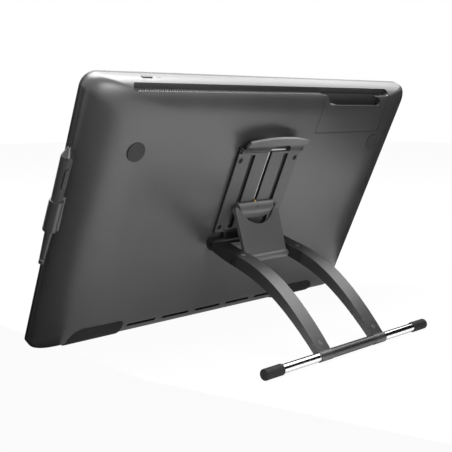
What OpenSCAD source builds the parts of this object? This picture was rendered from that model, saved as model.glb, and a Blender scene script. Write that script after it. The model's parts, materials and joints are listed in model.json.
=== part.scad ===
// Pen display on a folding easel stand, seen in use with the stand at its steepest setting.
// Lengths are millimetres. The tablet is drawn flat, screen up, and then leaned on its stand:
// x runs across the screen, u up the screen from its lower edge, w back from its front face.

/* [Tablet] */
// Width across the front
tablet_w = 640; // [620:5:670]
// Height along the front
tablet_h = 402.5; // [396:0.5:416]
// Depth from the front face to the flat of the back
tablet_d = 43.2; // [42:0.1:47]
// Radius of the two upper corners
corner_top = 20; // [16:1:24]
// Radius of the two lower corners
corner_low = 10; // [8:1:14]
// How much the corners' radius grows from the edge to the back
corner_swell = 20; // [10:1:24]
// Depth of the straight edge behind the front face
edge_d = 11; // [9:0.5:12]
// Width over which each side rounds into the back
side_round = 88; // [70:1:90]
// Height over which the top shoulder rounds into the back
top_round = 47; // [44:0.5:50]
// How square the top shoulder is
top_fullness = 2.7; // [2.5:0.1:2.9]
// Height over which the bottom rounds into the back
bottom_round = 37.5; // [34:0.5:40]
// Wall of the rear cover
wall = 3; // [2.5:0.1:3.5]
// Depth of the seam between bezel and rear cover
seam_d = 6; // [5.5:0.1:7]
// Lean of the screen from the table top
tilt = 66; // [62:1:68]

/* [Screen] */
// Width of the cover glass
glass_w = 502; // [490:1:510]
// Height of the cover glass
glass_h = 294; // [284:1:300]
// Thickness of the cover glass
glass_t = 2; // [1.5:0.1:2.5]
// Corner radius of the cover glass
glass_r = 6; // [3:1:10]
// Width of the ledge that carries the glass
glass_ledge = 6; // [4:0.5:8]
// Height of the screen's centre above the lower edge
screen_u = 205; // [202:1:208]
// Thickness of the bezel's face
bezel_t = 3.5; // [3.2:0.1:4]
// Easing of the bezel's front edge
edge_ease = 1; // [0.5:0.1:2]
// Thickness of the display panel
lcd_t = 11; // [9:0.5:13]
// Thickness of the pen sensor board
sensor_t = 1.6; // [1:0.1:2]
// Thickness of the steel chassis plate
chassis_t = 1.5; // [1:0.1:2]
// How far the chassis plate reaches past the glass on each side
chassis_reach = 16; // [14:1:18]
// Height of the main board's posts
board_stand = 9.3; // [9:0.1:9.6]
// Thickness of a circuit board
board_t = 1.6; // [1:0.1:2]

/* [Shortcut keys] */
// Width of a key
key_w = 26; // [22:1:30]
// Height of a key
key_h = 15; // [12:0.5:16]
// Corner radius of a key
key_r = 3; // [1:0.5:5]
// Distance between the centres of neighbouring keys
key_pitch = 19; // [18:0.5:22]
// Distance from the screen's centre line to the first key on each side of it
key_start = 22; // [18:0.5:28]
// How far a key stands proud of the bezel
key_proud = 0.6; // [0.3:0.1:1]
// How far a key travels when it is pressed
key_travel = 0.8; // [0.5:0.1:1]

/* [Back details] */
// Distance of the top slot from the side by the port cover
slot_in0 = 69; // [66:1:74]
// Distance of the top slot from the side by the power button
slot_in1 = 55.5; // [50:0.5:60]
// Depth of the slot's floor below the top edge
slot_drop = 12.7; // [12:0.1:13.5]
// Height of the slot between its round ends
slot_h = 11.2; // [10.4:0.1:12]
// Distance of the slot's inner wall from the front face
slot_w = 28; // [27.6:0.1:28.4]
// Length of one rib of the vent grille across the slot
rib_l = 7.6; // [6.6:0.1:7.8]
// Thickness of a rib
rib_t = 1.7; // [1:0.1:2.2]
// Height of a rib
rib_h = 1.6; // [1:0.1:2.4]
// Distance between ribs
rib_pitch = 3.9; // [3.6:0.1:6]
// Slant of the ribs
rib_slant = 40; // [20:1:45]
// Distance of the port cover from the slot's end
cover_in = 3; // [2:0.5:6]
// Length of the port cover
cover_l = 157; // [154:1:160]
// Distance of the port cover's lower edge below the top edge
cover_drop = 71.5; // [68:0.5:76]
// Thickness of the port cover
cover_t = 2.3; // [2:0.1:2.4]
// Width of the groove round the port cover
cover_gap = 0.8; // [0.4:0.1:1]
// Distance of the cable notch from the port cover's end
notch_in = 18; // [14:1:22]
// Length of the notch along its lower edge
notch_l = 123; // [119:1:125]
// Distance of the notch's lower edge below the top edge
notch_drop = 26.7; // [25.5:0.1:28]
// Radius of the notch's round end
notch_r = 6.1; // [5.6:0.1:6.2]
// How far the notch widens at its slanted end
notch_flare = 11.6; // [8:0.2:13]
// Length of the hook over the notch's round end
hook_l = 13; // [9:0.5:16]
// Thickness of the hook at its tip
hook_t = 1.2; // [0.8:0.1:1.5]
// Room between the bay's end and the notch
bay_margin = 3; // [2:0.5:4]
// Width of the seat under the port cover's lower edge
bay_seat = 8; // [6:0.5:10]
// Length of the ledge at the bay's floor
ledge_l0 = 17; // [14:1:20]
// Length of the ledge at the port cover
ledge_l1 = 31; // [26:1:34]
// Thickness of the ledge
ledge_t = 2; // [1.5:0.1:3]
// Diameter of the hole in the ledge
ledge_hole = 4; // [3:0.1:5]
// Diameter of a round rubber pad
pad_d = 27; // [20:1:32]
// Distance of the pads' centres from the sides
pad_in = 76.4; // [74:0.2:90]
// Height of the pads' centres
pad_u = 311.8; // [290:0.1:314]
// How far a pad stands proud of the back
pad_proud = 0.6; // [0.3:0.1:1.5]
// How deep a pad is let into the back
pad_sink = 1.5; // [1:0.1:2]
// Length of a vent under the back
vent_l = 53; // [45:1:60]
// Width of a vent
vent_h = 3.4; // [2:0.1:5]
// Distance between vents
vent_pitch = 66; // [64:0.5:68]
// Place of the vents round the lower edge, as an angle
vent_at = 74; // [68:1:78]
// How far the vents and feet sit off the middle, towards the pen
under_shift = 20; // [0:1:22]

/* [Feet] */
// Distance of a rubber foot's centre from the side
foot_in = 109; // [104:0.5:112]
// Length of a foot
foot_l = 86; // [72:1:88]
// Height of a foot on the back
foot_u = 38.8; // [34:0.2:44]
// Outer corner radius of a foot
foot_r = 24; // [16:1:28]
// Inner corner radius of a foot
foot_r_in = 6; // [4:1:12]
// How far a foot reaches below the housing
foot_drop = 1.4; // [1.2:0.1:3]
// How far a foot stands proud of the back
foot_proud = 0.8; // [0.4:0.1:1.2]
// How much of a foot's lowest edge is worn flat
foot_flat = 0.4; // [0.3:0.05:0.6]

/* [Power button] */
// Distance of the button's centre from the side
button_in = 84.7; // [80:0.1:100]
// Distance of the button's centre from the front face
button_w = 17; // [14:0.1:18]
// Length of the button
button_l = 17; // [12:0.5:18]
// Width of the button
button_h = 5; // [4:0.2:6]
// How far the button stands proud of the top
button_proud = 0.6; // [0.3:0.1:1]
// How far the button travels
button_travel = 0.8; // [0.5:0.1:1]
// Distance from the button's centre to the lamp
lamp_gap = 19; // [15:0.2:24]
// Length of the lamp
lamp_l = 6; // [4:0.5:8]
// Width of the lamp
lamp_h = 1.8; // [1.2:0.1:2.5]

/* [Track plate] */
// Width of the track plate
plate_w = 128; // [126:0.5:134]
// Upper edge of the track plate
plate_u1 = 305; // [301:0.5:309]
// Lower end of the side rails
rail_u0 = 174; // [173:0.5:177]
// Thickness of the track plate
plate_t = 4.8; // [4.4:0.1:5]
// Width of a side rail
rail_w = 24.5; // [23:0.5:26]
// Width of a groove beside the centre track
groove_w = 9.5; // [9:0.1:10]
// Thickness left under the grooves
groove_floor = 1.3; // [1:0.1:1.6]
// Width of the band above and below the grooves
groove_band = 4; // [3:0.5:6]
// Width of the centre slot
slit_w = 7; // [6.6:0.1:8]
// Thickness left under the centre slot
slit_floor = 0.6; // [0.5:0.1:0.8]
// Distance of the plate's screws from the middle
screw_x = 57; // [54:0.5:58]
// Distance of the upper screws from the plate's upper edge
screw_top = 12; // [11:0.5:16]
// Distance of the lower screws from the rails' lower end
screw_low = 9; // [7.5:0.5:12]
// Diameter of a screw's head
head_d = 7; // [6:0.1:7.5]
// Thickness of a screw's head
head_t = 2; // [1.6:0.1:2.2]
// Diameter of a screw's shank
shank_d = 4; // [3:0.1:4.4]
// Thickness of the bracket inside the back
bracket_t = 3; // [2:0.1:4]
// How far the bracket reaches past its screws
bracket_edge = 12; // [9:0.5:14]
// Distance of the bracket's posts from its screws
bracket_post = 14; // [10:0.5:18]

/* [Linkage] */
// Height of the leg hinge on the back
hinge_u = 158.5; // [157:0.5:160]
// Distance of the leg hinge behind the back
hinge_w = 10.5; // [10:0.1:12]
// Radius of the hinge barrel
barrel_r = 7.5; // [7:0.1:8]
// Radius of the hinge shaft
shaft_r = 4; // [3:0.1:4.5]
// Distance from the leg hinge to the brace's lower pin
crank = 48.5; // [47:0.5:50]
// Length of the brace between its pins
brace_l = 73; // [71:0.5:75]
// Distance of the carriage pin behind the back
slide_w = 11; // [10.6:0.1:12]
// Width of the brace at the carriage
brace_w1 = 90; // [86:0.5:90.5]
// Width of the brace at the legs
brace_w0 = 86; // [82:0.5:89]
// Thickness of the brace
brace_t = 6; // [5:0.1:7]
// Radius of the brace's lower barrel
brace_barrel_r = 6; // [5:0.1:7]
// Radius of the brace's ears round the carriage pin
ear_r = 5.2; // [4.6:0.1:5.4]
// Radius of the brace's lower pin
brace_pin_r = 3; // [2.5:0.1:3.5]
// Radius of the carriage pin
slide_pin_r = 2.5; // [2:0.1:3]
// Half width and end radius of the carriage
carriage_r = 37.8; // [36.5:0.1:38]
// Height of the carriage above its pin
carriage_top = 9.5; // [8.5:0.1:11]
// Length of the carriage below its pin
carriage_drop = 19.5; // [18:0.1:20.5]
// Radius of the carriage's rounded back
carriage_round = 16; // [15.6:0.1:17]
// Room between the carriage and the arch cut in the brace
arch_gap = 4.5; // [3.5:0.1:6]

/* [Lock] */
// Thickness of the toothed lock bar
lock_w = 3; // [2.5:0.1:3.2]
// Depth of the lock bar in its slot
lock_h = 2.7; // [2.2:0.1:2.8]
// Distance between the lock bar's teeth
tooth_pitch = 3; // [2.5:0.1:4]
// Depth of a tooth
tooth_h = 1; // [0.6:0.1:1.4]
// Length of the lock bar's crosspiece
lock_tab = 36; // [30:1:38]
// How far the lock bar moves when the lever is pressed
lock_travel = 2.5; // [1.5:0.1:3]

/* [Lever] */
// Distance of the lever's pin above the track plate
lever_u = 4.3; // [4.1:0.1:5]
// Distance of the lever's pin behind the back
lever_w = 6; // [5.6:0.1:7]
// Radius of the lever's root
lever_r = 3.8; // [3.2:0.1:4]
// Radius of the lever's pin
lever_pin_r = 1.6; // [1.2:0.1:2]
// Width of the lever
lever_width = 122; // [118:0.5:122.5]
// Length of the lever at its middle
lever_l = 31; // [27:0.5:34]
// How far the lever's free edge bows out
lever_bow = 9.4; // [5:0.1:11]
// Thickness of the lever's flap
lever_t = 4; // [3:0.1:5]
// Angle between the lever and the back
lever_angle = 32; // [28:1:36]
// Depth of the notch in the lever's root
lever_notch = 11; // [9:0.5:13]
// Angle through which the lever is pressed
lever_swing = 15; // [10:1:18]

/* [Legs] */
// Distance between the two legs
leg_gap = 92; // [91.5:0.5:96]
// Width of a leg
leg_w = 24.5; // [20:0.5:28]
// Distance from the leg hinge to the foot bar
leg_chord = 244; // [240:0.1:258]
// Place along the chord of the leg's first bend
bend_a_along = 66; // [60:0.5:70]
// Height above the chord of the leg's first bend
bend_a_rise = 6.5; // [5:0.5:8]
// Place along the chord of the leg's second bend
bend_b_along = 97; // [92:0.5:110]
// Height above the chord of the leg's second bend
bend_b_rise = 45.5; // [42:0.5:47]
// Depth of a leg at the hinge
leg_d0 = 12.8; // [12:0.1:13.2]
// Depth of a leg at the foot bar
leg_d1 = 9; // [8:0.1:12]
// How much deeper a leg is half way
leg_swell = 7; // [5:0.1:7.6]
// Radius of a leg's hinge end
leg_end_r = 9.2; // [8.6:0.1:9.4]
// Where the metal arm meets the moulded leg, as a share of the curve
knee = 0.37; // [0.34:0.01:0.39]
// Slant of the joint between an arm and its leg
knee_slant = 40; // [30:1:42]
// Angle through which the legs fold towards the back
fold = 76; // [70:1:76]
// Diameter of a plug in the legs
plug_d = 8; // [6:0.5:9]
// Depth of a plug
plug_t = 2; // [1:0.1:3]

/* [Foot bar] */
// Length of the foot bar over its caps
bar_l = 348; // [320:1:370]
// Diameter of the foot bar
bar_d = 12.2; // [11:0.1:12.6]
// Diameter of an end cap
cap_d = 15; // [14.8:0.1:18]
// Length of an end cap
cap_l = 33; // [28:1:48]
// Rounding of a cap's rims
cap_rim = 2; // [1:0.5:4]
// Thickness of an end cap's end
cap_end = 4; // [2:0.5:6]
// Diameter of the sleeve between the legs
sleeve_d = 13.6; // [13.2:0.1:14.4]

/* [Pen] */
// Length of the pen
pen_l = 180; // [172:1:186]
// Radius of the pen at its tail
tail_r = 3.9; // [3.6:0.1:4.4]
// Radius of the pen behind the grip
barrel_pen_r = 7.2; // [6.8:0.1:7.6]
// Radius of the pen at the front of the grip
grip_r = 8; // [7.8:0.1:8.4]
// Radius of the pen's core inside the grip
core_r = 5.4; // [5:0.1:5.8]
// Length of the eraser
eraser_l = 9.5; // [8:0.5:11]
// Where the grip begins, from the tail
grip_s0 = 98; // [96:1:102]
// Length of the grip
grip_l = 60; // [56:1:64]
// Length of the nose cone
cone_l = 14; // [12:0.5:16]
// Radius of the nib
nib_r = 0.9; // [0.7:0.1:1.2]
// How far the nib is pressed in
nib_travel = 0.5; // [0.3:0.1:0.8]
// Radius of the eraser's stem
stem_r = 2.4; // [2:0.1:2.8]
// Length of the eraser's stem inside the barrel
stem_l = 6; // [4:0.5:8]
// How far the eraser is pressed in
eraser_travel = 1; // [0.5:0.1:1.2]
// Length of the side switch
switch_l = 28; // [22:1:32]
// Width of the side switch
switch_w = 6; // [5:0.5:7]
// Room under the side switch, bridged by the rib that it rocks on
switch_lift = 0.8; // [0.7:0.05:1]
// How far the side switch stands proud
switch_proud = 1; // [0.6:0.1:1.4]
// Outer radius of the pen holder
holder_r = 9.2; // [8.8:0.1:10]
// Length of the pen holder
holder_l = 45; // [38:1:50]
// Height of the holder's centre
holder_u = 216; // [200:1:225]
// Distance of the holder's centre from the front face
holder_w = 18.4; // [17.8:0.1:20]
// Distance of the pen's axis from the side of the tablet
holder_off = 9; // [8.6:0.1:9.6]
// Lean of the pen from the side edge
pen_lean = 2.5; // [0:0.5:4]
// Thickness of the holder's foot in the side
holder_foot = 6; // [5:0.5:8]

/* [Fits] */
// Room round pieces that slide or lift out
clear = 0.3; // [0.2:0.05:0.4]
// Room round pins and shafts that turn
run = 0.05; // [0.03:0.01:0.08]

/* [Hidden] */
$fn = 48;

// Rings of the rounded back, and steps round each of its corners
rings = 9;
corner_steps = 5;

// Depths of the layers behind the bezel
lcd_w1 = bezel_t + lcd_t;
sensor_w1 = lcd_w1 + sensor_t;
chassis_w1 = sensor_w1 + chassis_t;
board_w0 = chassis_w1 + board_stand;
board_w1 = board_w0 + board_t;
inner_w = tablet_d - wall;

// Keys stand midway between the glass and the side
key_x = (glass_w + tablet_w) / 4;
key_flange = 1;
key_flange_t = 1;
keys_per_half = 4;
key_board_w0 = bezel_t + clear + key_flange_t + key_travel + clear;
key_board_w = key_w + 4;
key_board_l = 2 * (key_start + keys_per_half * key_pitch);
key_post_r = 3;

// Top slot, port cover and the bay behind it, whose floor carries on the slot's inner wall
slot_x0 = slot_in0 - tablet_w / 2;
slot_x1 = tablet_w / 2 - slot_in1;
slot_u = tablet_h - slot_drop;
cover_x0 = slot_x0 + cover_in;
cover_x1 = cover_x0 + cover_l;
cover_u0 = tablet_h - cover_drop;
notch_x0 = cover_x0 + notch_in;
notch_x1 = notch_x0 + notch_l;
notch_u0 = tablet_h - notch_drop;
bay_w = slot_w;
bay_u0 = cover_u0 + bay_seat;
bay_x0 = notch_x0 - bay_margin;
bay_x1 = notch_x1 + notch_flare;

// Sockets in a row on the main board, from the ledge's end of the bay
socket_l = 18;
socket_gap = 10;
socket_u0 = bay_u0 - socket_l;
video_size = [40, 10];
usb_size = [12, 11];
power_size = [11, 11];
socket_wall = 1.2;
video_x = bay_x1 - ledge_l1 - video_size[0] / 2;
usb_x = video_x - video_size[0] / 2 - socket_gap - usb_size[0] / 2;
power_x = usb_x - usb_size[0] / 2 - socket_gap - power_size[0] / 2;

// Main board round the sockets, its posts and its larger components
board_margin = 6;
board_post = 8;
board_l = 80;
chip = 22;
chip_pitch = 36;

// Pads, feet and button keep their distance from the sides
pad_x = tablet_w / 2 - pad_in;
foot_x = tablet_w / 2 - foot_in;
button_x = tablet_w / 2 - button_in;
button_flange = 0.8;
flange_u = tablet_h - wall - clear - rounded_in(
  (button_w + button_h / 2 + button_flange - edge_d) / (tablet_d - edge_d), top_round, top_fullness);

// Grille on the slot's floor, from the port cover to the slot's round end
grille_rail = 1;
grille_x0 = cover_x1 + wall;
grille_x1 = slot_x1 - slot_h / 2;

// Pins of the linkage as height and depth
hinge_at = [hinge_u, tablet_d + hinge_w];
brace_pin_at = hinge_at + [0, crank];
slide_rise = brace_pin_at[1] - tablet_d - slide_w;
slide_at = [hinge_u + sqrt(pow(brace_l, 2) - pow(slide_rise, 2)), tablet_d + slide_w];
brace_angle = asin(slide_rise / brace_l);
lever_at = [plate_u1 + lever_u, tablet_d + lever_w];

// The lowest point of the housing sets how high the feet carry it
bottom_depth = tablet_d - edge_d;
housing_low = bottom_round * sin(tilt) - edge_d * cos(tilt)
  - norm([bottom_round * sin(tilt), bottom_depth * cos(tilt)]);
lift = foot_drop - housing_low;
foot_shift = (foot_drop + foot_flat - foot_proud * cos(tilt)) / sin(tilt);

// The foot bar lies on the table at the legs' length from their hinge
hinge_y = hinge_u * cos(tilt) + hinge_at[1] * sin(tilt);
hinge_z = lift + hinge_u * sin(tilt) - hinge_at[1] * cos(tilt);
bar_z = cap_d / 2;
bar_y = hinge_y + sqrt(pow(leg_chord, 2) - pow(hinge_z - bar_z, 2));
bar_at = [bar_y * cos(tilt) + (bar_z - lift) * sin(tilt), bar_y * sin(tilt) - (bar_z - lift) * cos(tilt)];
leg_along = (bar_at - hinge_at) / leg_chord;
leg_up = [leg_along[1], -leg_along[0]];
leg_bends = [
  hinge_at,
  hinge_at + bend_a_along * leg_along + bend_a_rise * leg_up,
  hinge_at + bend_b_along * leg_along + bend_b_rise * leg_up,
  bar_at
];
leg_x0 = leg_gap / 2;
leg_x1 = leg_x0 + leg_w;
inner_x = leg_x0 - 2 * clear;

// Origin on the table under the middle of the whole object
pen_x = tablet_w / 2 + holder_off;
origin_x = (pen_x + holder_r - tablet_w / 2) / 2;
origin_y = (bar_y + cap_d / 2) / 2;

// Leans the tablet on its stand and sets it on the origin
module placed()
  translate([-origin_x, -origin_y, lift])
    rotate([tilt, 0, 0])
      children();

// A profile drawn in height and depth, carried across from x0 to x1
module across(x0, x1)
  translate([x1, 0, 0])
    rotate([-90, 0, 90])
      linear_extrude(x1 - x0)
        children();

// A plan drawn in x and u, carried back from depth w0 to w1
module deep(w0, w1)
  translate([0, 0, -w1])
    linear_extrude(w1 - w0)
      children();

// A round rod across the tablet
module rod(at, x0, x1, r)
  translate([x0, at[0], -at[1]])
    rotate([0, 90, 0])
      cylinder(h = x1 - x0, r = r);

// A round post through the depth
module post(x, u, w0, w1, r)
  translate([x, u, -w1])
    cylinder(h = w1 - w0, r = r);

// A rectangle with round corners, centred on a point
module round_rect(at, w, h, r)
  translate(at) {
    square([w - 2 * r, h], center = true);
    square([w, h - 2 * r], center = true);
    for (x = [-1, 1], y = [-1, 1])
      translate([x * (w / 2 - r), y * (h / 2 - r)])
        circle(r);
  }

// The tablet's outline, drawn in by a margin
module outline(margin) {
  hx = tablet_w / 2 - margin;
  translate([-hx, corner_low])
    square([2 * hx, tablet_h - corner_low - corner_top]);
  translate([corner_low - tablet_w / 2, margin])
    square([tablet_w - 2 * corner_low, corner_low]);
  translate([corner_top - tablet_w / 2, tablet_h - corner_top - margin])
    square([tablet_w - 2 * corner_top, corner_top]);
  for (side = [-1, 1]) {
    translate([side * (tablet_w / 2 - corner_low), corner_low])
      circle(corner_low - margin);
    translate([side * (tablet_w / 2 - corner_top), tablet_h - corner_top])
      circle(corner_top - margin);
  }
}

// How far an edge has rounded in at share s of its depth
function rounded_in(s, reach, fullness) = reach * (1 - pow(1 - pow(s, fullness), 1 / fullness));

// One ring of the rounded back, skin inside its outer surface
function back_ring(s, w, skin) =
  let (
    hx = tablet_w / 2 - skin - rounded_in(s, side_round - skin, 2),
    u1 = tablet_h - skin - rounded_in(s, top_round - skin, top_fullness),
    u0 = skin + rounded_in(s, bottom_round - skin, 2),
    swell = corner_swell * s * s - skin,
    top = corner_top + swell,
    low = corner_low + swell,
    radii = [top, top, low, low],
    corners = [[hx - top, u1 - top], [top - hx, u1 - top], [low - hx, u0 + low], [hx - low, u0 + low]]
  )
  [for (q = [0:3], k = [0:corner_steps])
    let (a = 90 * (q + k / corner_steps))
    [corners[q][0] + radii[q] * cos(a), corners[q][1] + radii[q] * sin(a), -w]];

// The solid of the rounded back from depth front, skin inside its outer surface
module rounded_back(skin, front) {
  n = 4 * (corner_steps + 1);
  shares = [for (k = [0:rings]) sin(90 * k / rings)];
  points = concat(
    back_ring(0, front, skin),
    [for (s = shares) each back_ring(s, edge_d + (bottom_depth - skin) * s, skin)]
  );
  last = rings + 1;
  sides = [for (k = [0:rings], j = [0:n - 1])
    let (a = k * n + j, b = k * n + (j + 1) % n)
    each [[a, b, b + n], [a, b + n, a + n]]];
  polyhedron(points, concat(
    [[for (j = [n - 1:-1:0]) j]],
    sides,
    [[for (j = [0:n - 1]) last * n + j]]
  ));
}

// Bezel round the screen, with holes for the keys and bosses for the chassis
module front_bezel() placed() color("#2b2c2f") {
  boss_x = glass_w / 2 + chassis_reach / 2;
  boss_u = glass_h / 2 + chassis_reach / 2;
  difference() {
    union() {
      deep(edge_ease, seam_d) outline(0);
      deep(0, edge_ease + 0.001) outline(edge_ease);
    }
    deep(bezel_t, seam_d + 1) outline(wall);
    deep(-1, glass_t)
      round_rect([0, screen_u], glass_w + clear, glass_h + clear, glass_r);
    deep(-1, seam_d)
      round_rect([0, screen_u], glass_w - 2 * glass_ledge, glass_h - 2 * glass_ledge, glass_r);
    for (side = [-1, 1], k = [1:2 * keys_per_half])
      deep(-1, seam_d) key_plan(side, k, clear);
  }
  for (x = [-boss_x, boss_x], u = [-boss_u, boss_u])
    post(x, screen_u + u, bezel_t, sensor_w1, chassis_reach / 4);
  for (side = [-1, 1], u = [-1, 1])
    post(side * key_x, screen_u + u * key_board_end(), bezel_t, key_board_w0, key_post_r);
}

// Place of a key board's end posts from its middle
function key_board_end() = key_board_l / 2 - 1.5 * key_post_r;

// Height of a key's centre, counted down from the top
function key_u(k) =
  k <= keys_per_half
    ? screen_u + key_start + (keys_per_half - k) * key_pitch
    : screen_u - key_start - (k - keys_per_half - 1) * key_pitch;

// Plan of one key with a margin round it
module key_plan(side, k, margin)
  round_rect([side * key_x, key_u(k)], key_w + 2 * margin, key_h + 2 * margin, key_r + margin);

// One shortcut key with the flange that holds it behind the bezel
module shortcut_key(side, k) placed() color("#37383b") {
  deep(-key_proud, bezel_t + clear + key_flange_t) key_plan(side, k, 0);
  deep(bezel_t + clear, bezel_t + clear + key_flange_t) key_plan(side, k, key_flange);
}

// Cover glass, let in flush with the bezel
module cover_glass() placed() color("#101318")
  deep(0, glass_t) round_rect([0, screen_u], glass_w - clear, glass_h - clear, glass_r);

// Display panel against the back of the glass ledge
module lcd_panel() placed() color("#3a3d42")
  deep(bezel_t, lcd_w1)
    translate([0, screen_u])
      square([glass_w - glass_ledge, glass_h - glass_ledge], center = true);

// Pen sensor board against the back of the panel
module sensor_board() placed() color("#20503a")
  deep(lcd_w1, sensor_w1)
    translate([0, screen_u])
      square([glass_w - 2 * glass_ledge, glass_h - 2 * glass_ledge], center = true);

// Steel plate that stiffens the tablet and carries the boards
module chassis_plate() placed() color("#b8babd") {
  deep(sensor_w1, chassis_w1)
    translate([0, screen_u])
      square([glass_w + 2 * chassis_reach, glass_h + 2 * chassis_reach], center = true);
  for (x = [bay_x0, bay_x1], u = [board_u0() + board_post, board_u1() - board_post])
    post(x, u, chassis_w1, board_w0, 3);
  for (x = [-1, 1], u = [screw_u0(), screw_u1()])
    post(x * bracket_x(), u, chassis_w1, inner_w - bracket_t, 4);
}

// Lower and upper ends of the main board
function board_u0() = socket_u0 - board_l;
function board_u1() = bay_u0 - wall - clear;

// Heights of the track plate's screws, and the bracket's posts beside them
function screw_u0() = rail_u0 + screw_low;
function screw_u1() = plate_u1 - screw_top;
function bracket_x() = screw_x - bracket_post;

// Main board beside the stand, with its larger components
module main_board() placed() color("#1f5b3c") {
  mid = (bay_x0 + bay_x1) / 2;
  width = bay_x1 - bay_x0 + 2 * board_margin;
  deep(board_w0, board_w1)
    translate([mid - width / 2, board_u0()])
      square([width, board_u1() - board_u0()]);
  for (k = [-1:1])
    deep(board_w1, board_w1 + 2 * board_t)
      translate([mid + k * chip_pitch, board_u0() + 1.5 * chip])
        square(chip, center = true);
}

// A socket's body on the main board, its mouth facing up into the bay
module socket_body(x, size, grow)
  translate([x - size[0] / 2 - grow, socket_u0 - grow, -board_w1 - size[1] - grow])
    cube([size[0] + 2 * grow, socket_l + 2 * grow, size[1] + (grow > 0 ? 2 * grow : 0)]);

// Well in a socket, round the contact block that stands in it
module socket_well(x, size, depth)
  translate([x - size[0] / 2 + socket_wall, socket_u0 + socket_l - depth, -board_w1 - size[1] + socket_wall])
    difference() {
      cube([size[0] - 2 * socket_wall, depth + 1, size[1] - 2 * socket_wall]);
      translate([1.5 * socket_wall, -1, 1.5 * socket_wall])
        children();
    }

// Video socket, a metal shell round a flat contact block
module video_socket() placed() color("#c8cacc")
  difference() {
    socket_body(video_x, video_size, 0);
    socket_well(video_x, video_size, 5)
      cube([video_size[0] - 5 * socket_wall, 6, video_size[1] - 5 * socket_wall]);
  }

// Data socket with its tongue
module usb_socket() placed() color("#c8cacc")
  difference() {
    socket_body(usb_x, usb_size, 0);
    socket_well(usb_x, usb_size, 8)
      cube([usb_size[0] - 5 * socket_wall, 9, usb_size[1] - 6 * socket_wall]);
  }

// Power socket with its centre pin
module power_socket() placed() color("#2a2a2c")
  difference() {
    socket_body(power_x, power_size, 0);
    translate([power_x, socket_u0 + socket_l - 9, -board_w1 - power_size[1] / 2])
      rotate([-90, 0, 0])
        difference() {
          cylinder(h = 10, r = 3.2);
          translate([0, 0, -1])
            cylinder(h = 10, r = 1.1);
        }
  }

// Switch boards under the two columns of keys
module key_boards() placed() color("#1f5b3c")
  for (side = [-1, 1])
    deep(key_board_w0, key_board_w0 + board_t)
      translate([side * key_x, screen_u])
        square([key_board_w, key_board_l], center = true);

// Slot with round ends that runs along the top shoulder
module top_slot()
  deep(slot_w, tablet_d + 1)
    round_rect([(slot_x0 + slot_x1) / 2, slot_u + slot_h / 2], slot_x1 - slot_x0, slot_h, slot_h / 2 - 0.01);

// Walls behind the slot and round the port bay, kept when the cover is hollowed
module slot_and_bay_walls() {
  across(slot_x0 - wall, slot_x1 + wall)
    polygon([
      [slot_u - wall, tablet_d], [slot_u - wall, slot_w - 2],
      [tablet_h, slot_w - 2], [tablet_h, tablet_d]
    ]);
  deep(bay_w - 2, tablet_d)
    translate([bay_x0 - wall, bay_u0 - wall])
      square([bay_x1 - bay_x0 + 2 * wall, tablet_h - bay_u0]);
  deep(inner_w - 4, tablet_d)
    translate([cover_x0 - wall, cover_u0 - wall])
      square([cover_x1 - cover_x0 + 2 * wall, slot_u - cover_u0]);
}

// Bay behind the port cover
module port_bay()
  deep(bay_w, tablet_d + 1)
    translate([bay_x0, bay_u0])
      square([bay_x1 - bay_x0, slot_u - bay_u0 + 1]);

// Plan of the port cover with a margin round it
module cover_plan(margin)
  translate([cover_x0 - margin, cover_u0 - margin])
    square([cover_x1 - cover_x0 + 2 * margin, slot_u - cover_u0 + margin]);

// Plan of the notch, with a round end under a hook and a slanted end
module notch_plan() {
  round_at = [notch_x0 + notch_r, notch_u0 + notch_r];
  translate(round_at)
    circle(notch_r);
  polygon([
    [round_at[0], notch_u0], [notch_x1, notch_u0], [notch_x1 + notch_flare, slot_u + 1],
    [notch_x0 + hook_l, slot_u + 1], [notch_x0 + hook_l, slot_u - hook_t],
    [round_at[0], notch_u0 + 2 * notch_r]
  ]);
}

// Ledge in the bay, level with the notch's lower edge, with a hole through it
module bay_ledge()
  intersection() {
    upright(notch_u0 - ledge_t, notch_u0)
      difference() {
        polygon([
          [bay_x1 + 1, 1 - bay_w], [bay_x1 - ledge_l0, 1 - bay_w],
          [bay_x1 - ledge_l1, -tablet_d], [bay_x1 + 1, -tablet_d]
        ]);
        translate([bay_x1 - ledge_l0, -bay_w - 1.5 * ledge_hole])
          circle(ledge_hole / 2);
      }
    rounded_back(cover_t + 2 * clear, seam_d);
  }

// Point on the rounded lower edge at an angle from its front
function bottom_at(a) = [bottom_round * (1 - cos(a)), edge_d + bottom_depth * sin(a)];
function bottom_slope(a) = atan2(bottom_depth * cos(a), bottom_round * sin(a));

// One vent through the lower edge
module vent(x)
  translate([x, bottom_at(vent_at)[0], -bottom_at(vent_at)[1]])
    rotate([-bottom_slope(vent_at), 0, 0])
      translate([0, 0, -4 * wall]) {
        translate([-(vent_l - vent_h) / 2, -vent_h / 2, 0])
          cube([vent_l - vent_h, vent_h, 8 * wall]);
        for (end = [-1, 1])
          translate([end * (vent_l - vent_h) / 2, 0, 0])
            cylinder(h = 8 * wall, r = vent_h / 2);
      }

// Plan of the power button with a margin, in x and depth
module button_plan(margin)
  round_rect([button_x, -button_w], button_l + 2 * margin, button_h + 2 * margin,
    button_h / 2 + margin - 0.01);

// A plan drawn in x and depth, carried up from height u0 to u1
module upright(u0, u1)
  translate([0, u1, 0])
    rotate([90, 0, 0])
      linear_extrude(u1 - u0)
        children();

// Plan of the power lamp
module lamp_plan(margin)
  translate([button_x - lamp_gap, -button_w])
    square([lamp_l + 2 * margin, lamp_h + 2 * margin], center = true);

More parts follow.
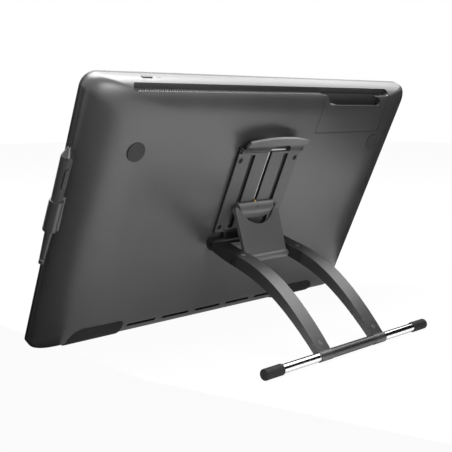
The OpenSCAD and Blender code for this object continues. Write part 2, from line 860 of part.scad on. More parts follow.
// Foot of the pen holder, let into the side of the rear cover
module holder_base(margin)
  translate([
    tablet_w / 2 - holder_foot - margin,
    holder_u - holder_l / 2 - 2 - margin,
    -holder_w - 1.5 - margin
  ])
    cube([holder_foot + 2 + margin, holder_l + 4 + 2 * margin, holder_w - seam_d - 0.5 + 2 * margin]);

// Moulded rear cover with its slot, port bay, vents and seats
module rear_cover() placed() color("#46484b") {
  bay_ledge();
  difference() {
    rounded_back(0, seam_d);
    difference() {
      rounded_back(wall, seam_d - 1);
      slot_and_bay_walls();
    }
    top_slot();
    port_bay();
    difference() {
      deep(bay_w, tablet_d + 1) cover_plan(cover_gap);
      rounded_back(cover_t + clear, seam_d);
    }
    socket_body(video_x, video_size, clear);
    socket_body(usb_x, usb_size, clear);
    socket_body(power_x, power_size, clear);
    across(grille_x0 + wall, grille_x1 - wall)
      translate([slot_u - 2 * wall, slot_w + clear + grille_rail])
        square([2 * wall + 1, rib_l - 2 * grille_rail]);
    for (k = [-2:2])
      vent(under_shift + k * vent_pitch);
    upright(tablet_h - 2 * wall, tablet_h + 1) button_plan(clear);
    upright(tablet_h - 2 * wall, tablet_h + 1) lamp_plan(0);
    for (side = [-1, 1])
      post(side * pad_x, pad_u, tablet_d - pad_sink, tablet_d + 1, pad_d / 2 + clear / 2);
    for (x = [-screw_x, screw_x], u = [screw_u0(), screw_u1()])
      post(x, u, inner_w - 1, tablet_d + 1, shank_d / 2 + clear);
    holder_base(clear / 2);
  }
}

// Slanted ribs between two rails along the floor of the slot
module vent_grille() placed() color("#2c2d2f") {
  rib_run = rib_l * tan(rib_slant);
  ribs = floor((grille_x1 - grille_x0 - rib_run) / rib_pitch);
  mid_w = slot_w + clear + rib_l / 2;
  for (w = [slot_w + clear, slot_w + clear + rib_l - grille_rail])
    across(grille_x0, grille_x1)
      translate([slot_u, w])
        square([rib_h, grille_rail]);
  for (k = [0:ribs - 1])
    upright(slot_u, slot_u + rib_h)
      translate([grille_x0 + rib_run / 2 + rib_t + k * rib_pitch, -mid_w])
        rotate(rib_slant)
          square([rib_t, rib_l / cos(rib_slant) - rib_t * tan(rib_slant)], center = true);
}

// Lift-off panel over the port bay, notched for the cables
module port_cover() placed() color("#46484b")
  difference() {
    intersection() {
      rounded_back(0, seam_d);
      deep(bay_w, tablet_d + 1) cover_plan(0);
    }
    rounded_back(cover_t, seam_d - 1);
    deep(bay_w, tablet_d + 2) notch_plan();
  }

// Two round rubber pads let into the back
module round_pads() placed() color("#2b2b2c")
  for (side = [-1, 1])
    post(side * pad_x, pad_u, tablet_d - pad_sink, tablet_d + pad_proud, pad_d / 2);

// Two rubber feet that wrap the lower edge, flat where they meet the table
module rubber_feet() {
  placed() color("#2b2b2c")
    for (side = [-1, 1])
      difference() {
        intersection() {
          translate([0, -foot_shift, -foot_proud])
            rounded_back(0, edge_d);
          deep(edge_d + 2, 2 * tablet_d)
            translate([under_shift + side * foot_x, 0])
              hull()
                for (flip = [-1, 1]) {
                  translate([side * (foot_l / 2 - foot_r), flip * (foot_u - foot_r)])
                    circle(foot_r, $fn = 48);
                  translate([side * (foot_r_in - foot_l / 2), flip * (foot_u - foot_r_in)])
                    circle(foot_r_in, $fn = 24);
                }
        }
        rounded_back(0, seam_d);
        translate([-tablet_w, 0, 0])
          rotate([-tilt, 0, 0])
            translate([0, -tablet_h, -lift - 50])
              cube([2 * tablet_w, 2 * tablet_h, 50]);
      }
}

// Power button in the top edge, with the flange that holds it in
module power_button() placed() color("#3a3b3d") {
  upright(flange_u - 1, tablet_h + button_proud) button_plan(0);
  upright(flange_u - 1.5, flange_u) button_plan(button_flange);
}

// Lamp beside the power button
module power_lamp() placed() color("#8fb4d8")
  upright(tablet_h - 2 * wall, tablet_h) lamp_plan(0);

// Steel bracket inside the back that the track plate is screwed to
module stand_bracket() placed() color("#a9abae")
  difference() {
    deep(inner_w - bracket_t, inner_w)
      translate([0, (screw_u0() + screw_u1()) / 2])
        square([2 * (screw_x + bracket_edge), screw_u1() - screw_u0() + 2 * bracket_edge], center = true);
    for (x = [-screw_x, screw_x], u = [screw_u0(), screw_u1()])
      post(x, u, inner_w - bracket_t - 1, inner_w + 1, shank_d / 2 + run);
  }

// Track plate with its rails, centre track, hinge barrel and lever ears
module track_plate() placed() color("#3b3c3e") {
  plate_w1 = tablet_d + plate_t;
  track_x = plate_w / 2 - rail_w - groove_w;
  ear_x0 = lever_width / 2 + clear;
  difference() {
    union() {
      deep(tablet_d, plate_w1)
        translate([-plate_w / 2, rail_u0])
          square([plate_w, plate_u1 - rail_u0]);
      across(-inner_x, inner_x)
        polygon([
          [hinge_u - barrel_r + 2, tablet_d], [rail_u0 + 2, tablet_d], [rail_u0 + 2, plate_w1],
          [hinge_u + barrel_r - 0.5, hinge_at[1]], [hinge_u - barrel_r + 0.5, hinge_at[1]]
        ]);
      rod(hinge_at, -inner_x, inner_x, barrel_r);
      for (side = [0, 1])
        mirror([side, 0, 0]) {
          rod(lever_at, ear_x0, plate_w / 2, lever_r + 0.8);
          across(ear_x0, plate_w / 2)
            polygon([
              [plate_u1 - 6, tablet_d], [lever_at[0] + lever_r, tablet_d],
              [lever_at[0] + lever_r, lever_at[1]], [lever_at[0] - lever_r, lever_at[1]]
            ]);
        }
    }
    for (side = [-1, 1])
      deep(tablet_d + groove_floor, plate_w1 + 1)
        translate([side * (track_x + groove_w / 2) - groove_w / 2, rail_u0 + groove_band + 2])
          square([groove_w, plate_u1 - rail_u0 - 2 * groove_band - 2]);
    deep(tablet_d + slit_floor, plate_w1 + 1)
      translate([-slit_w / 2, rail_u0 + groove_band + 2])
        square([slit_w, plate_u1 - rail_u0]);
    for (x = [-screw_x, screw_x], u = [screw_u0(), screw_u1()]) {
      post(x, u, plate_w1 - head_t - 0.6, plate_w1 + 1, head_d / 2 + 2 * clear);
      post(x, u, tablet_d - 1, plate_w1, shank_d / 2 + clear);
    }
    rod(hinge_at, -inner_x - 1, inner_x + 1, shaft_r + run);
    rod(lever_at, -plate_w, plate_w, lever_pin_r + run);
  }
}

// Four screws that hold the track plate to the bracket inside
module plate_screws() placed() color("#1c1c1d")
  for (x = [-screw_x, screw_x], u = [screw_u0(), screw_u1()]) {
    head_w0 = tablet_d + plate_t - head_t - 0.6;
    difference() {
      post(x, u, head_w0, head_w0 + head_t, head_d / 2);
      translate([x, u, -head_w0 - head_t - 1])
        cylinder(h = 2, r = head_d / 4, $fn = 6);
    }
    post(x, u, inner_w - bracket_t, head_w0, shank_d / 2);
  }

// Shaft that the legs turn on
module hinge_shaft() placed() color("#6d6f72")
  rod(hinge_at, -leg_x1, leg_x1, shaft_r);

// Toothed bar in the centre slot, with the crosspiece that the lever draws
module lock_bar() placed() color("#8c8d8f") {
  x1 = slit_w / 2 - clear;
  x0 = x1 - lock_w;
  u0 = rail_u0 + groove_band + 2 + clear;
  u1 = plate_u1 + 1;
  floor_w = tablet_d + slit_floor + clear;
  teeth = floor((u1 - u0 - 12) / tooth_pitch);
  deep(floor_w, floor_w + lock_h)
    polygon(concat(
      [[x1, u0], [x1, u1 + lock_h], [x1 - lock_tab, u1 + lock_h], [x1 - lock_tab, u1], [x0, u1]],
      [for (k = [teeth - 1:-1:0]) each [
        [x0, u0 + (k + 1) * tooth_pitch],
        [x0 + tooth_h, u0 + (k + 0.5) * tooth_pitch]
      ]],
      [[x0, u0]]
    ));
}

// Release lever, a bowed flap on a root that turns on a pin
module release_lever() placed() color("#58595c")
  translate([0, lever_at[0], -lever_at[1]])
    rotate([-lever_angle, 0, 0]) {
      bow_r = (pow(lever_width / 2, 2) + pow(lever_bow, 2)) / (2 * lever_bow);
      notch_x = slit_w / 2 + 2;
      difference() {
        union() {
          translate([0, 0, -lever_t / 2])
            linear_extrude(lever_t)
              intersection() {
                translate([-lever_width / 2, 0])
                  square([lever_width, lever_l]);
                translate([0, lever_l - bow_r])
                  circle(bow_r, $fn = 120);
              }
          translate([-lever_width / 2, 0, 0])
            rotate([0, 90, 0])
              cylinder(h = lever_width, r = lever_r);
        }
        translate([0, 0, -lever_t])
          linear_extrude(3 * lever_t)
            polygon([
              [notch_x, -lever_t], [notch_x, lever_t], [notch_x - 7, lever_notch],
              [notch_x - lock_tab + 3, lever_notch], [notch_x - lock_tab - 4, lever_t],
              [notch_x - lock_tab - 4, -lever_t]
            ]);
        translate([0, 0, -3 * lever_t])
          linear_extrude(3 * lever_t)
            translate([notch_x - lock_tab - 4, -lever_t])
              square([lock_tab + 4, 2 * lever_t]);
        translate([-lever_width, 0, 0])
          rotate([0, 90, 0])
            cylinder(h = 2 * lever_width, r = lever_pin_r + run);
      }
    }

// Pin that the lever turns on, in two halves beside the lever's notch
module lever_pin() placed() color("#8c8d8f") {
  notch_x = slit_w / 2 + 2;
  rod(lever_at, notch_x + 2, plate_w / 2, lever_pin_r);
  rod(lever_at, -plate_w / 2, notch_x - lock_tab - 6, lever_pin_r);
}

// Point on the leg's centre curve, and the direction across it
function leg_point(t) =
  pow(1 - t, 3) * leg_bends[0] + 3 * pow(1 - t, 2) * t * leg_bends[1]
  + 3 * (1 - t) * t * t * leg_bends[2] + pow(t, 3) * leg_bends[3];
function leg_normal(t) =
  let (d = pow(1 - t, 2) * (leg_bends[1] - leg_bends[0])
    + 2 * (1 - t) * t * (leg_bends[2] - leg_bends[1]) + t * t * (leg_bends[3] - leg_bends[2]))
  [d[1], -d[0]] / norm(d);
function leg_half(t) = leg_d0 / 2 + (leg_d1 - leg_d0) / 2 * t + leg_swell * 2 * t * (1 - t);
function leg_edge(t, side) = leg_point(t) + side * leg_half(t) * leg_normal(t);

// Side view of the leg between two shares of its curve
module leg_profile(t0, t1) {
  steps = 14;
  shares = [for (k = [0:steps]) t0 + (t1 - t0) * k / steps];
  polygon(concat(
    [for (t = shares) leg_edge(t, 1)],
    [for (k = [steps:-1:0]) leg_edge(shares[k], -1)]
  ));
}

// Place of an arm's screw and of a leg's plugs on their upper faces, and half the share of the slanted joint
screw_share = 0.31;
plug_shares = [0.54, 0.962];
knee_lap = 0.12;

// Half of space on the arm's side of the slanted joint
module arm_side() {
  at = leg_point(knee);
  n = leg_normal(knee);
  translate([(leg_x0 + leg_x1) / 2, at[0], -at[1]])
    rotate([-90 - atan2(n[1], n[0]), 0, 0])
      rotate(-knee_slant)
        translate([-leg_chord, -2 * leg_chord, -leg_chord])
          cube(2 * leg_chord);
}

// A hole or a plug let into the leg's upper face
module top_plug(side, t, r, depth, proud) {
  at = leg_edge(t, 1);
  n = leg_normal(t);
  translate([side * (leg_x0 + leg_x1) / 2, at[0], -at[1]])
    rotate([-90 - atan2(n[1], n[0]), 0, 0])
      translate([0, 0, -depth])
        cylinder(h = depth + proud, r = r);
}

// Two metal arms from the hinge to the knee
module arms() placed() color("#2e2f31")
  for (side = [0, 1])
    mirror([side, 0, 0])
      difference() {
        union() {
          intersection() {
            across(leg_x0, leg_x1) leg_profile(0, knee + knee_lap);
            arm_side();
          }
          rod(hinge_at, leg_x0, leg_x1, leg_end_r);
        }
        rod(hinge_at, leg_x0 - 1, leg_x1 + 1, shaft_r + run);
        rod(brace_pin_at, leg_x0 - 1, leg_x1 + 1, brace_pin_r);
        top_plug(1, screw_share, head_d / 2, head_t, 1);
      }

// Moulded leg from the knee to the foot bar
module leg(side) placed() color("#4a4b4e")
  mirror([side < 0 ? 1 : 0, 0, 0])
    difference() {
      union() {
        difference() {
          across(leg_x0, leg_x1) leg_profile(knee - knee_lap, 1);
          arm_side();
        }
        rod(bar_at, leg_x0, leg_x1, cap_d / 2 - clear);
      }
      rod(bar_at, leg_x0 - 1, leg_x1 + 1, bar_d / 2);
      for (t = plug_shares)
        top_plug(1, t, plug_d / 2, plug_t, 1);
    }

// Pin through both arms that carries the foot of the brace
module brace_pin() placed() color("#6d6f72")
  rod(brace_pin_at, -leg_x1, leg_x1, brace_pin_r);

// Screws in the arms
module arm_screws() placed() color("#77797c")
  for (side = [-1, 1])
    top_plug(side, screw_share, head_d / 2, head_t, 0);

// Round plugs over the screws in the legs
module leg_plugs() placed() color("#515255")
  for (side = [-1, 1], t = plug_shares)
    top_plug(side, t, plug_d / 2, plug_t, 0);

// Chrome foot bar
module foot_bar() placed() color("#d8dadc")
  rod(bar_at, cap_end - bar_l / 2, bar_l / 2 - cap_end, bar_d / 2);

// Sleeve on the bar between the legs
module bar_sleeve() placed() color("#38393b")
  difference() {
    rod(bar_at, -leg_x0, leg_x0, sleeve_d / 2);
    rod(bar_at, -leg_x0 - 1, leg_x0 + 1, bar_d / 2);
  }

// Rubber caps on the ends of the bar
module bar_caps() placed() color("#232324")
  for (side = [0, 1])
    mirror([side, 0, 0])
      translate([bar_l / 2 - cap_l, bar_at[0], -bar_at[1]])
        rotate([0, 90, 0])
          rotate_extrude()
            difference() {
              intersection() {
                square([cap_d / 2, cap_l]);
                round_rect([0, cap_l / 2], cap_d, cap_l, cap_rim);
              }
              translate([0, -1])
                square([bar_d / 2, cap_l - cap_end + 1]);
            }

// Places a piece drawn in the brace's own plane, from the carriage pin down to the legs
module on_brace()
  translate([0, slide_at[0], -slide_at[1]])
    rotate([brace_angle, 0, 0])
      children();

// Brace plate with its arch, ears and lower barrel
module brace() placed() color("#454649")
  on_brace() {
    arch_r = carriage_r + 2 * clear;
    difference() {
      union() {
        translate([0, 0, -brace_t * 2 / 3])
          linear_extrude(brace_t)
            difference() {
              polygon([
                [-brace_w1 / 2, 0], [-brace_w0 / 2, -brace_l], [brace_w0 / 2, -brace_l], [brace_w1 / 2, 0]
              ]);
              translate([0, arch_r - carriage_drop - arch_gap])
                circle(arch_r, $fn = 96);
            }
        for (side = [0, 1])
          mirror([side, 0, 0])
            cross_rod(0, arch_r, brace_w1 / 2, ear_r);
        cross_rod(-brace_l, -inner_x, inner_x, brace_barrel_r);
      }
      cross_rod(0, -brace_w1, brace_w1, slide_pin_r);
      cross_rod(-brace_l, -brace_w1, brace_w1, brace_pin_r + run);
    }
  }

// A round rod across the brace at a place along it
module cross_rod(along, x0, x1, r)
  translate([x0, along, 0])
    rotate([0, 90, 0])
      cylinder(h = x1 - x0, r = r);

// Pin that joins the brace to the carriage
module carriage_pin() placed() color("#6d6f72")
  rod(slide_at, -brace_w1 / 2, brace_w1 / 2, slide_pin_r);

// Carriage that slides up the track, with a runner in each groove
module carriage() placed() color("#55575a")
  difference() {
    track_x = plate_w / 2 - rail_w - groove_w;
    low_w = tablet_d + plate_t + clear;
    union() {
      intersection() {
        across(-carriage_r, carriage_r)
          intersection() {
            translate([slide_at[0] - 5, slide_at[1] - 10.5]) circle(carriage_round);
            translate([slide_at[0] - carriage_r, low_w])
              square([carriage_r + carriage_top, 2 * carriage_round]);
          }
        deep(tablet_d, tablet_d + 40)
          translate([0, slide_at[0] - carriage_drop + carriage_r])
            circle(carriage_r, $fn = 96);
      }
      for (side = [0, 1])
        mirror([side, 0, 0])
          deep(tablet_d + groove_floor + 2 * clear, low_w + 1)
            translate([track_x + 2 * clear, slide_at[0] - 3])
              square([groove_w - 9 * clear, carriage_top + 3]);
    }
    rod(slide_at, -carriage_r - 1, carriage_r + 1, slide_pin_r + run);
    deep(tablet_d, low_w + 2.5)
      translate([slit_w / 2 - lock_w - clear, slide_at[0] + carriage_top - 5])
        square([lock_w, 6]);
    post(0, slide_at[0] + 4.5, low_w + 4, low_w + 40, 1.3);
  }

// Brass pawl that stands out of the carriage and holds on the lock bar
module lock_pawl() placed() color("#c9a648") {
  low_w = tablet_d + plate_t + clear;
  bar_top = tablet_d + slit_floor + clear + lock_h;
  deep(bar_top + clear, low_w + 2.5)
    translate([slit_w / 2 - lock_w - clear, slide_at[0] + carriage_top - 5])
      square([lock_w, 8]);
}

// Places a piece drawn along the pen from its tail
module on_pen()
  translate([pen_x, holder_u, -holder_w])
    rotate([-90 - pen_lean, 0, 0])
      translate([0, 0, -pen_seat()])
        children();

// Where along the pen the middle of the holder lies
function pen_seat() = grip_s0 - holder_l / 2;
function barrel_r_at(s) = tail_r + (barrel_pen_r - tail_r) * (s - eraser_l) / (grip_s0 - eraser_l);
switch_at = grip_s0 + 0.55 * grip_l;
cone_s0 = grip_s0 + grip_l;
cone_s1 = cone_s0 + cone_l;

// Holder with a tapered socket, let into the side of the tablet
module pen_holder() placed() color("#343538")
  difference() {
    union() {
      on_pen()
        translate([0, 0, grip_s0 - holder_l])
          cylinder(h = holder_l - clear, r = holder_r);
      holder_base(0);
    }
    on_pen()
      rotate_extrude()
        polygon([
          [0, grip_s0 - 2 * holder_l], [barrel_r_at(grip_s0 - 2 * holder_l) + clear, grip_s0 - 2 * holder_l],
          [barrel_r_at(grip_s0 + holder_l) + clear, grip_s0 + holder_l], [0, grip_s0 + holder_l]
        ]);
  }

// Pen barrel with the core that carries the grip
module pen_barrel() placed() color("#2c2d30")
  on_pen()
    rotate_extrude()
      polygon([
        [stem_r + run, eraser_l], [barrel_r_at(eraser_l), eraser_l], [barrel_r_at(grip_s0), grip_s0],
        [core_r, grip_s0], [core_r, cone_s0], [0, cone_s0],
        [0, eraser_l + stem_l + eraser_travel + clear],
        [stem_r + run, eraser_l + stem_l + eraser_travel + clear]
      ]);

// Soft grip with the well for the side switch
module pen_grip() placed() color("#242426")
  on_pen()
    difference() {
      rotate_extrude()
        polygon([[core_r, grip_s0], [barrel_pen_r, grip_s0], [grip_r, cone_s0], [core_r, cone_s0]]);
      switch_form(clear, core_r, 2 * grip_r);
    }

// Long round-ended form of the side switch, from one distance off the pen's axis to another
module switch_form(margin, y0, y1)
  translate([0, y1, switch_at])
    rotate([90, 0, 0])
      linear_extrude(y1 - y0) {
        square([switch_w + 2 * margin, switch_l - switch_w], center = true);
        for (end = [-1, 1])
          translate([0, end * (switch_l - switch_w) / 2])
            circle(switch_w / 2 + margin);
      }

// Side switch that rocks on a round rib over the pen's core
module pen_switch() placed() color("#3f4144")
  on_pen() {
    switch_form(0, core_r + switch_lift, grip_r + switch_proud);
    translate([0, core_r + switch_lift, switch_at])
      rotate([0, 90, 0])
        cylinder(h = switch_w / 2, r = switch_lift - run, center = true);
  }

// Nose cone with the bore that the nib slides in
module pen_nose() placed() color("#8e9093")
  on_pen()
    rotate_extrude()
      polygon([
        [nib_r + run, cone_s0], [grip_r, cone_s0], [grip_r, cone_s0 + 1.2],
        [2 * nib_r + 0.6, cone_s1], [nib_r + run, cone_s1]
      ]);

// Nib, pressed in a little when the pen writes
module pen_nib() placed() color("#1d1d1e")
  on_pen()
    rotate_extrude()
      polygon([
        [0, cone_s0 + nib_travel + clear], [nib_r, cone_s0 + nib_travel + clear],
        [nib_r, pen_l - 3], [nib_r / 2, pen_l], [0, pen_l]
      ]);

// Eraser in the tail, on a stem that slides in the barrel
module pen_eraser() placed() color("#35363a")
  on_pen()
    rotate_extrude() {
      intersection() {
        translate([0, tail_r * 1.2]) circle(tail_r * 1.2);
        square([tail_r, eraser_l - eraser_travel - clear]);
      }
      square_from([0, tail_r], [stem_r, eraser_l + stem_l]);
    }

// A rectangle between two corners
module square_from(a, b)
  translate(a)
    square(b - a);

front_bezel();
cover_glass();
lcd_panel();
sensor_board();
chassis_plate();
main_board();
video_socket();
usb_socket();
power_socket();
key_boards();
for (k = [1:2 * keys_per_half]) {
  shortcut_key(-1, k);
  shortcut_key(1, k);
}
rear_cover();
vent_grille();
port_cover();
round_pads();
rubber_feet();
power_button();
power_lamp();
stand_bracket();
track_plate();
plate_screws();
hinge_shaft();
lock_bar();
release_lever();
lever_pin();
arms();
leg(-1);  // leg_left
leg(1);  // leg_right
brace_pin();
arm_screws();
leg_plugs();
foot_bar();
bar_sleeve();
bar_caps();
brace();
carriage_pin();
carriage();
lock_pawl();
pen_holder();
pen_barrel();
pen_grip();
pen_switch();
pen_nose();
pen_nib();
pen_eraser();
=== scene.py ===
import json
import math

import bmesh
import bpy
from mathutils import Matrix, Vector


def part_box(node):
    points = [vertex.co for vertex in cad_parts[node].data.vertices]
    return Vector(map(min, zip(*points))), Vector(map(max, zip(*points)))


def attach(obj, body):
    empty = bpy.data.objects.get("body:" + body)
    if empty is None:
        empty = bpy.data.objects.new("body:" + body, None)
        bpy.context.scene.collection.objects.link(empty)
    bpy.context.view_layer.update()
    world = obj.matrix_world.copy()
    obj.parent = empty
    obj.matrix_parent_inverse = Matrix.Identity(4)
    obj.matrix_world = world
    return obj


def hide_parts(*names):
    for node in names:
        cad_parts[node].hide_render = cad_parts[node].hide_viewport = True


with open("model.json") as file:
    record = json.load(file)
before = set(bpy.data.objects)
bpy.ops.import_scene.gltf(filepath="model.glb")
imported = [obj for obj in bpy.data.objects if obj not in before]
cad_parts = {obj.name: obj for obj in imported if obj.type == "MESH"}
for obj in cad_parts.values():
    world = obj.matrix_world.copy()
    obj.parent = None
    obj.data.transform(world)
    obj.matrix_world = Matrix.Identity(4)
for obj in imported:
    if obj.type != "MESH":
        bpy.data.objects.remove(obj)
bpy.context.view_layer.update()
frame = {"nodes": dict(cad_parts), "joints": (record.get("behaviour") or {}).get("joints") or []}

# Front bezel and its keys
# One frame moulded in black satin plastic, with eight shortcut keys on each side of the screen.
# The frame is screwed to the chassis from behind, and each key is held by its own flange.


class Wire:
    """A value on its way through a tree of nodes, which adds Math nodes as it is reckoned with."""

    def __init__(self, nodes, socket):
        self.nodes = nodes
        self.socket = socket

    def math(self, operation, first, second):
        return self.nodes.node("ShaderNodeMath", {"operation": operation}, {0: first, 1: second})

    def __add__(self, other):
        return self.math("ADD", self, other)

    def __sub__(self, other):
        return self.math("SUBTRACT", self, other)

    def __rsub__(self, other):
        return self.math("SUBTRACT", other, self)

    def __mul__(self, other):
        return self.math("MULTIPLY", self, other)

    __radd__ = __add__
    __rmul__ = __mul__


class Nodes:
    """A tree of nodes, in which one method makes each node, sets it and feeds its sockets."""

    def __init__(self, tree):
        self.tree = tree

    def feed(self, node, sockets):
        for name, value in sockets.items():
            if isinstance(value, Wire):
                self.tree.links.new(value.socket, node.inputs[name])
            else:
                node.inputs[name].default_value = value

    def node(self, kind, settings=None, sockets=None, out=0):
        node = self.tree.nodes.new(kind)
        for name, value in (settings or {}).items():
            setattr(node, name, value)
        self.feed(node, sockets or {})
        return Wire(self, node.outputs[out])

    def limit(self, value, low, high):
        """How far a value has come from one level to another, from 0 to 1."""
        return self.node("ShaderNodeMapRange", None, {"Value": value, "From Min": low, "From Max": high})


class Finish(Nodes):
    """A material made of nodes round one Principled shader."""

    def __init__(self, name, constants):
        self.material = bpy.data.materials.new(name)
        self.material.use_nodes = True
        super().__init__(self.material.node_tree)
        self.shader = self.tree.nodes["Principled BSDF"]
        self.feed(self.shader, constants)
        self.place = self.node("ShaderNodeTexCoord", out="Object")

    def noise(self, scale, detail=2.0, roughness=0.5, place=None):
        return self.node("ShaderNodeTexNoise", None, {
            "Vector": place or self.place, "Scale": scale, "Detail": detail, "Roughness": roughness})

    def stretched(self, scale):
        """The place on the surface, drawn out by a share in each direction."""
        return self.node("ShaderNodeMapping", None, {"Vector": self.place, "Scale": scale})

    def between(self, factor, first, second):
        """A colour mixed from two, by a value from 0 to 1."""
        return self.node("ShaderNodeMix", {"data_type": "RGBA"}, {0: factor, 6: first, 7: second}, out=2)

    def relief(self, height, depth, strength):
        return self.node("ShaderNodeBump", None, {"Height": height, "Distance": depth, "Strength": strength})

    def surface(self, **inputs):
        self.feed(self.shader, {name.replace("_", " "): value for name, value in inputs.items()})
        return self


def grey(level):
    """A grey by its display level out of 255, as a linear colour."""
    share = level / 255
    linear = share / 12.92 if share <= 0.04045 else ((share + 0.055) / 1.055) ** 2.4
    return (linear, linear, linear, 1.0)


def moulded(name, tones, roughness, grain=2600, depth=0.00003, specular=0.4):
    """Moulded plastic: an even spark-eroded grain, with slow clouds in its tone and in its gloss."""
    finish = Finish(name, {"Specular IOR Level": specular})
    clouds = finish.noise(7, 3)
    pits = finish.noise(grain, 2, 0.6)
    specks = finish.limit(finish.noise(grain * 0.45, 1), 0.55, 0.75)
    tone = finish.limit(clouds * 0.6 + pits * 0.4, 0.35, 0.65)
    dark, light = map(grey, tones)
    return finish.surface(
        Base_Color=finish.between(tone, dark, light),
        Roughness=roughness + (clouds - 0.5) * 0.12 + (pits - 0.5) * 0.1 - specks * 0.04,
        Normal=finish.relief(pits, depth, 0.6))


SHARP = math.radians(35)
SAME_PLACE = 0.00001


def smoothing():
    """A modifier's nodes that shade a mesh smooth, apart from its sharp edges."""
    group = Nodes(bpy.data.node_groups.new("smooth_by_angle", "GeometryNodeTree"))
    for way in ("INPUT", "OUTPUT"):
        group.tree.interface.new_socket("Geometry", in_out=way, socket_type="NodeSocketGeometry")
    soft = group.node("FunctionNodeCompare", {"operation": "LESS_THAN"}, {
        0: group.node("GeometryNodeInputMeshEdgeAngle"), 1: SHARP})
    faces = group.node("GeometryNodeSetShadeSmooth", None, {"Geometry": group.node("NodeGroupInput")})
    edges = group.node("GeometryNodeSetShadeSmooth", {"domain": "EDGE"}, {
        "Geometry": faces, "Shade Smooth": soft})
    group.tree.links.new(edges.socket, group.tree.nodes.new("NodeGroupOutput").inputs[0])
    return group.tree


smooth_shading = smoothing()


def round_edges(piece, edge):
    """Rounds a piece's sharp edges by so many millimetres."""
    rounding = piece.modifiers.new("edges", "BEVEL")
    rounding.width = edge / 1000
    rounding.segments = 3
    rounding.limit_method = "ANGLE"
    rounding.angle_limit = SHARP


def dress(finish, *names, edge):
    """Gives CAD pieces their finish, and rounds their edges by so many millimetres."""
    for name in names:
        piece = frame["nodes"][name]
        piece.data.materials.clear()
        piece.data.materials.append(finish.material)
        piece.modifiers.new("weld", "WELD").merge_threshold = SAME_PLACE
        round_edges(piece, edge)
        piece.modifiers.new("smooth", "NODES").node_group = smooth_shading
        piece.modifiers.new("shading", "WEIGHTED_NORMAL").keep_sharp = True


bezel_plastic = moulded("bezel_plastic", tones=(44, 50), roughness=0.42)
dress(bezel_plastic, "front_bezel", edge=0.7)
key_plastic = moulded("key_plastic", tones=(58, 66), roughness=0.36, grain=3200, depth=0.00002)
dress(key_plastic, *[f"key_{side}_{k}" for side in ("left", "right") for k in range(1, 9)], edge=0.5)

# Cover glass
# A sheet of etched glass over the display, bonded into the bezel's ledge with its face flush.
# The fine etch gives the pen some bite and softens what the glass reflects.

etched_glass = Finish("etched_glass", {"IOR": 1.5, "Transmission Weight": 0.35, "Base Color": grey(38)})
etch = etched_glass.noise(5200, 2, 0.65)
smears = etched_glass.limit(etched_glass.noise(11, 4, 0.6), 0.5, 0.8)
etched_glass.surface(
    Roughness=0.16 + etch * 0.1 + smears * 0.05,
    Normal=etched_glass.relief(etch, 0.000006, 0.4))
dress(etched_glass, "cover_glass", edge=0.3)

# Display panel and boards
# The display panel, the pen sensor behind it, the steel chassis plate and the boards on that.
# They are stacked behind the glass and show only through the vents and the port bay.

panel_face = Finish("panel_face", {"Specular IOR Level": 0.3, "Roughness": 0.3})
rows = panel_face.node("ShaderNodeTexWave", {"bands_direction": "X"}, {
    "Vector": panel_face.place, "Scale": 1900, "Distortion": 0.0})
panel_face.surface(Base_Color=panel_face.between(rows, grey(22), grey(30)))
dress(panel_face, "lcd_panel", edge=0.3)

solder_mask = Finish("solder_mask", {"Specular IOR Level": 0.5})
tracks = solder_mask.node("ShaderNodeTexBrick", {"offset": 0.37, "squash": 0.6, "squash_frequency": 3}, {
    "Vector": solder_mask.place, "Scale": 160, "Mortar Size": 0.03,
    "Color1": (0.012, 0.075, 0.04, 1), "Color2": (0.014, 0.09, 0.045, 1), "Mortar": (0.035, 0.16, 0.08, 1)})
solder_mask.surface(Base_Color=tracks, Roughness=0.3 + solder_mask.noise(300) * 0.2)
dress(solder_mask, "sensor_board", "main_board", "key_boards", edge=0.2)

rolled_steel = Finish("rolled_steel", {"Metallic": 1.0})
rolling = rolled_steel.noise(60, 3, 0.6, rolled_steel.stretched((0.6, 30, 30)))
rolled_steel.surface(
    Base_Color=rolled_steel.between(rolling, grey(168), grey(196)),
    Roughness=0.28 + rolling * 0.25,
    Normal=rolled_steel.relief(rolling, 0.00002, 0.5))
dress(rolled_steel, "chassis_plate", "stand_bracket", "video_socket", "usb_socket", edge=0.3)

# Rear cover
# The charcoal shell of the back, moulded in one piece with a fine grain and screwed to the bezel from inside.
# The slot, bay, vents and seats are formed in the mould; the vents' walls are painted near black as painted
# shade inside the openings, and the ledge welded into the bay is painted pale as painted light on it.

TILT = math.radians(66)
HINGE_U, HINGE_W = 158.5, 53.7
TABLET_WIDE, TABLET_TALL, TABLET_DEEP = 640, 402.5, 43.2
CORNER_TOP = 20
CORNER_LOW = 10
CORNER_SWELL = 20
CORNER_STEPS = 12
EDGE_D = 11
SIDE_ROUND = 88
TOP_ROUND = 47
TOP_FULLNESS = 2.7
BOTTOM_ROUND = 37.5
BACK_STEPS = 32
SEAM_D = 6
WALL = 3
BEYOND = TABLET_DEEP + 7
hinge_place = next(j for j in frame["joints"] if j["name"] == "leg_fold")["pos_m"]
middle_x = sum(corner.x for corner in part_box("track_plate")) / 2


def on_tablet(x, u, w):
    """A point by its place across, up and behind the front face in millimetres, in the part's frame."""
    du = (u - HINGE_U) / 1000
    dw = (w - HINGE_W) / 1000
    return Vector((
        middle_x + x / 1000,
        hinge_place[1] + du * math.cos(TILT) + dw * math.sin(TILT),
        hinge_place[2] + du * math.sin(TILT) - dw * math.cos(TILT)))


def piece_from(name, mesh):
    """Turns a bmesh into a piece of that name."""
    bmesh.ops.recalc_face_normals(mesh, faces=mesh.faces)
    data = bpy.data.meshes.new(name)
    mesh.to_mesh(data)
    mesh.free()
    piece = bpy.data.objects.new(name, data)
    bpy.context.scene.collection.objects.link(piece)
    return piece


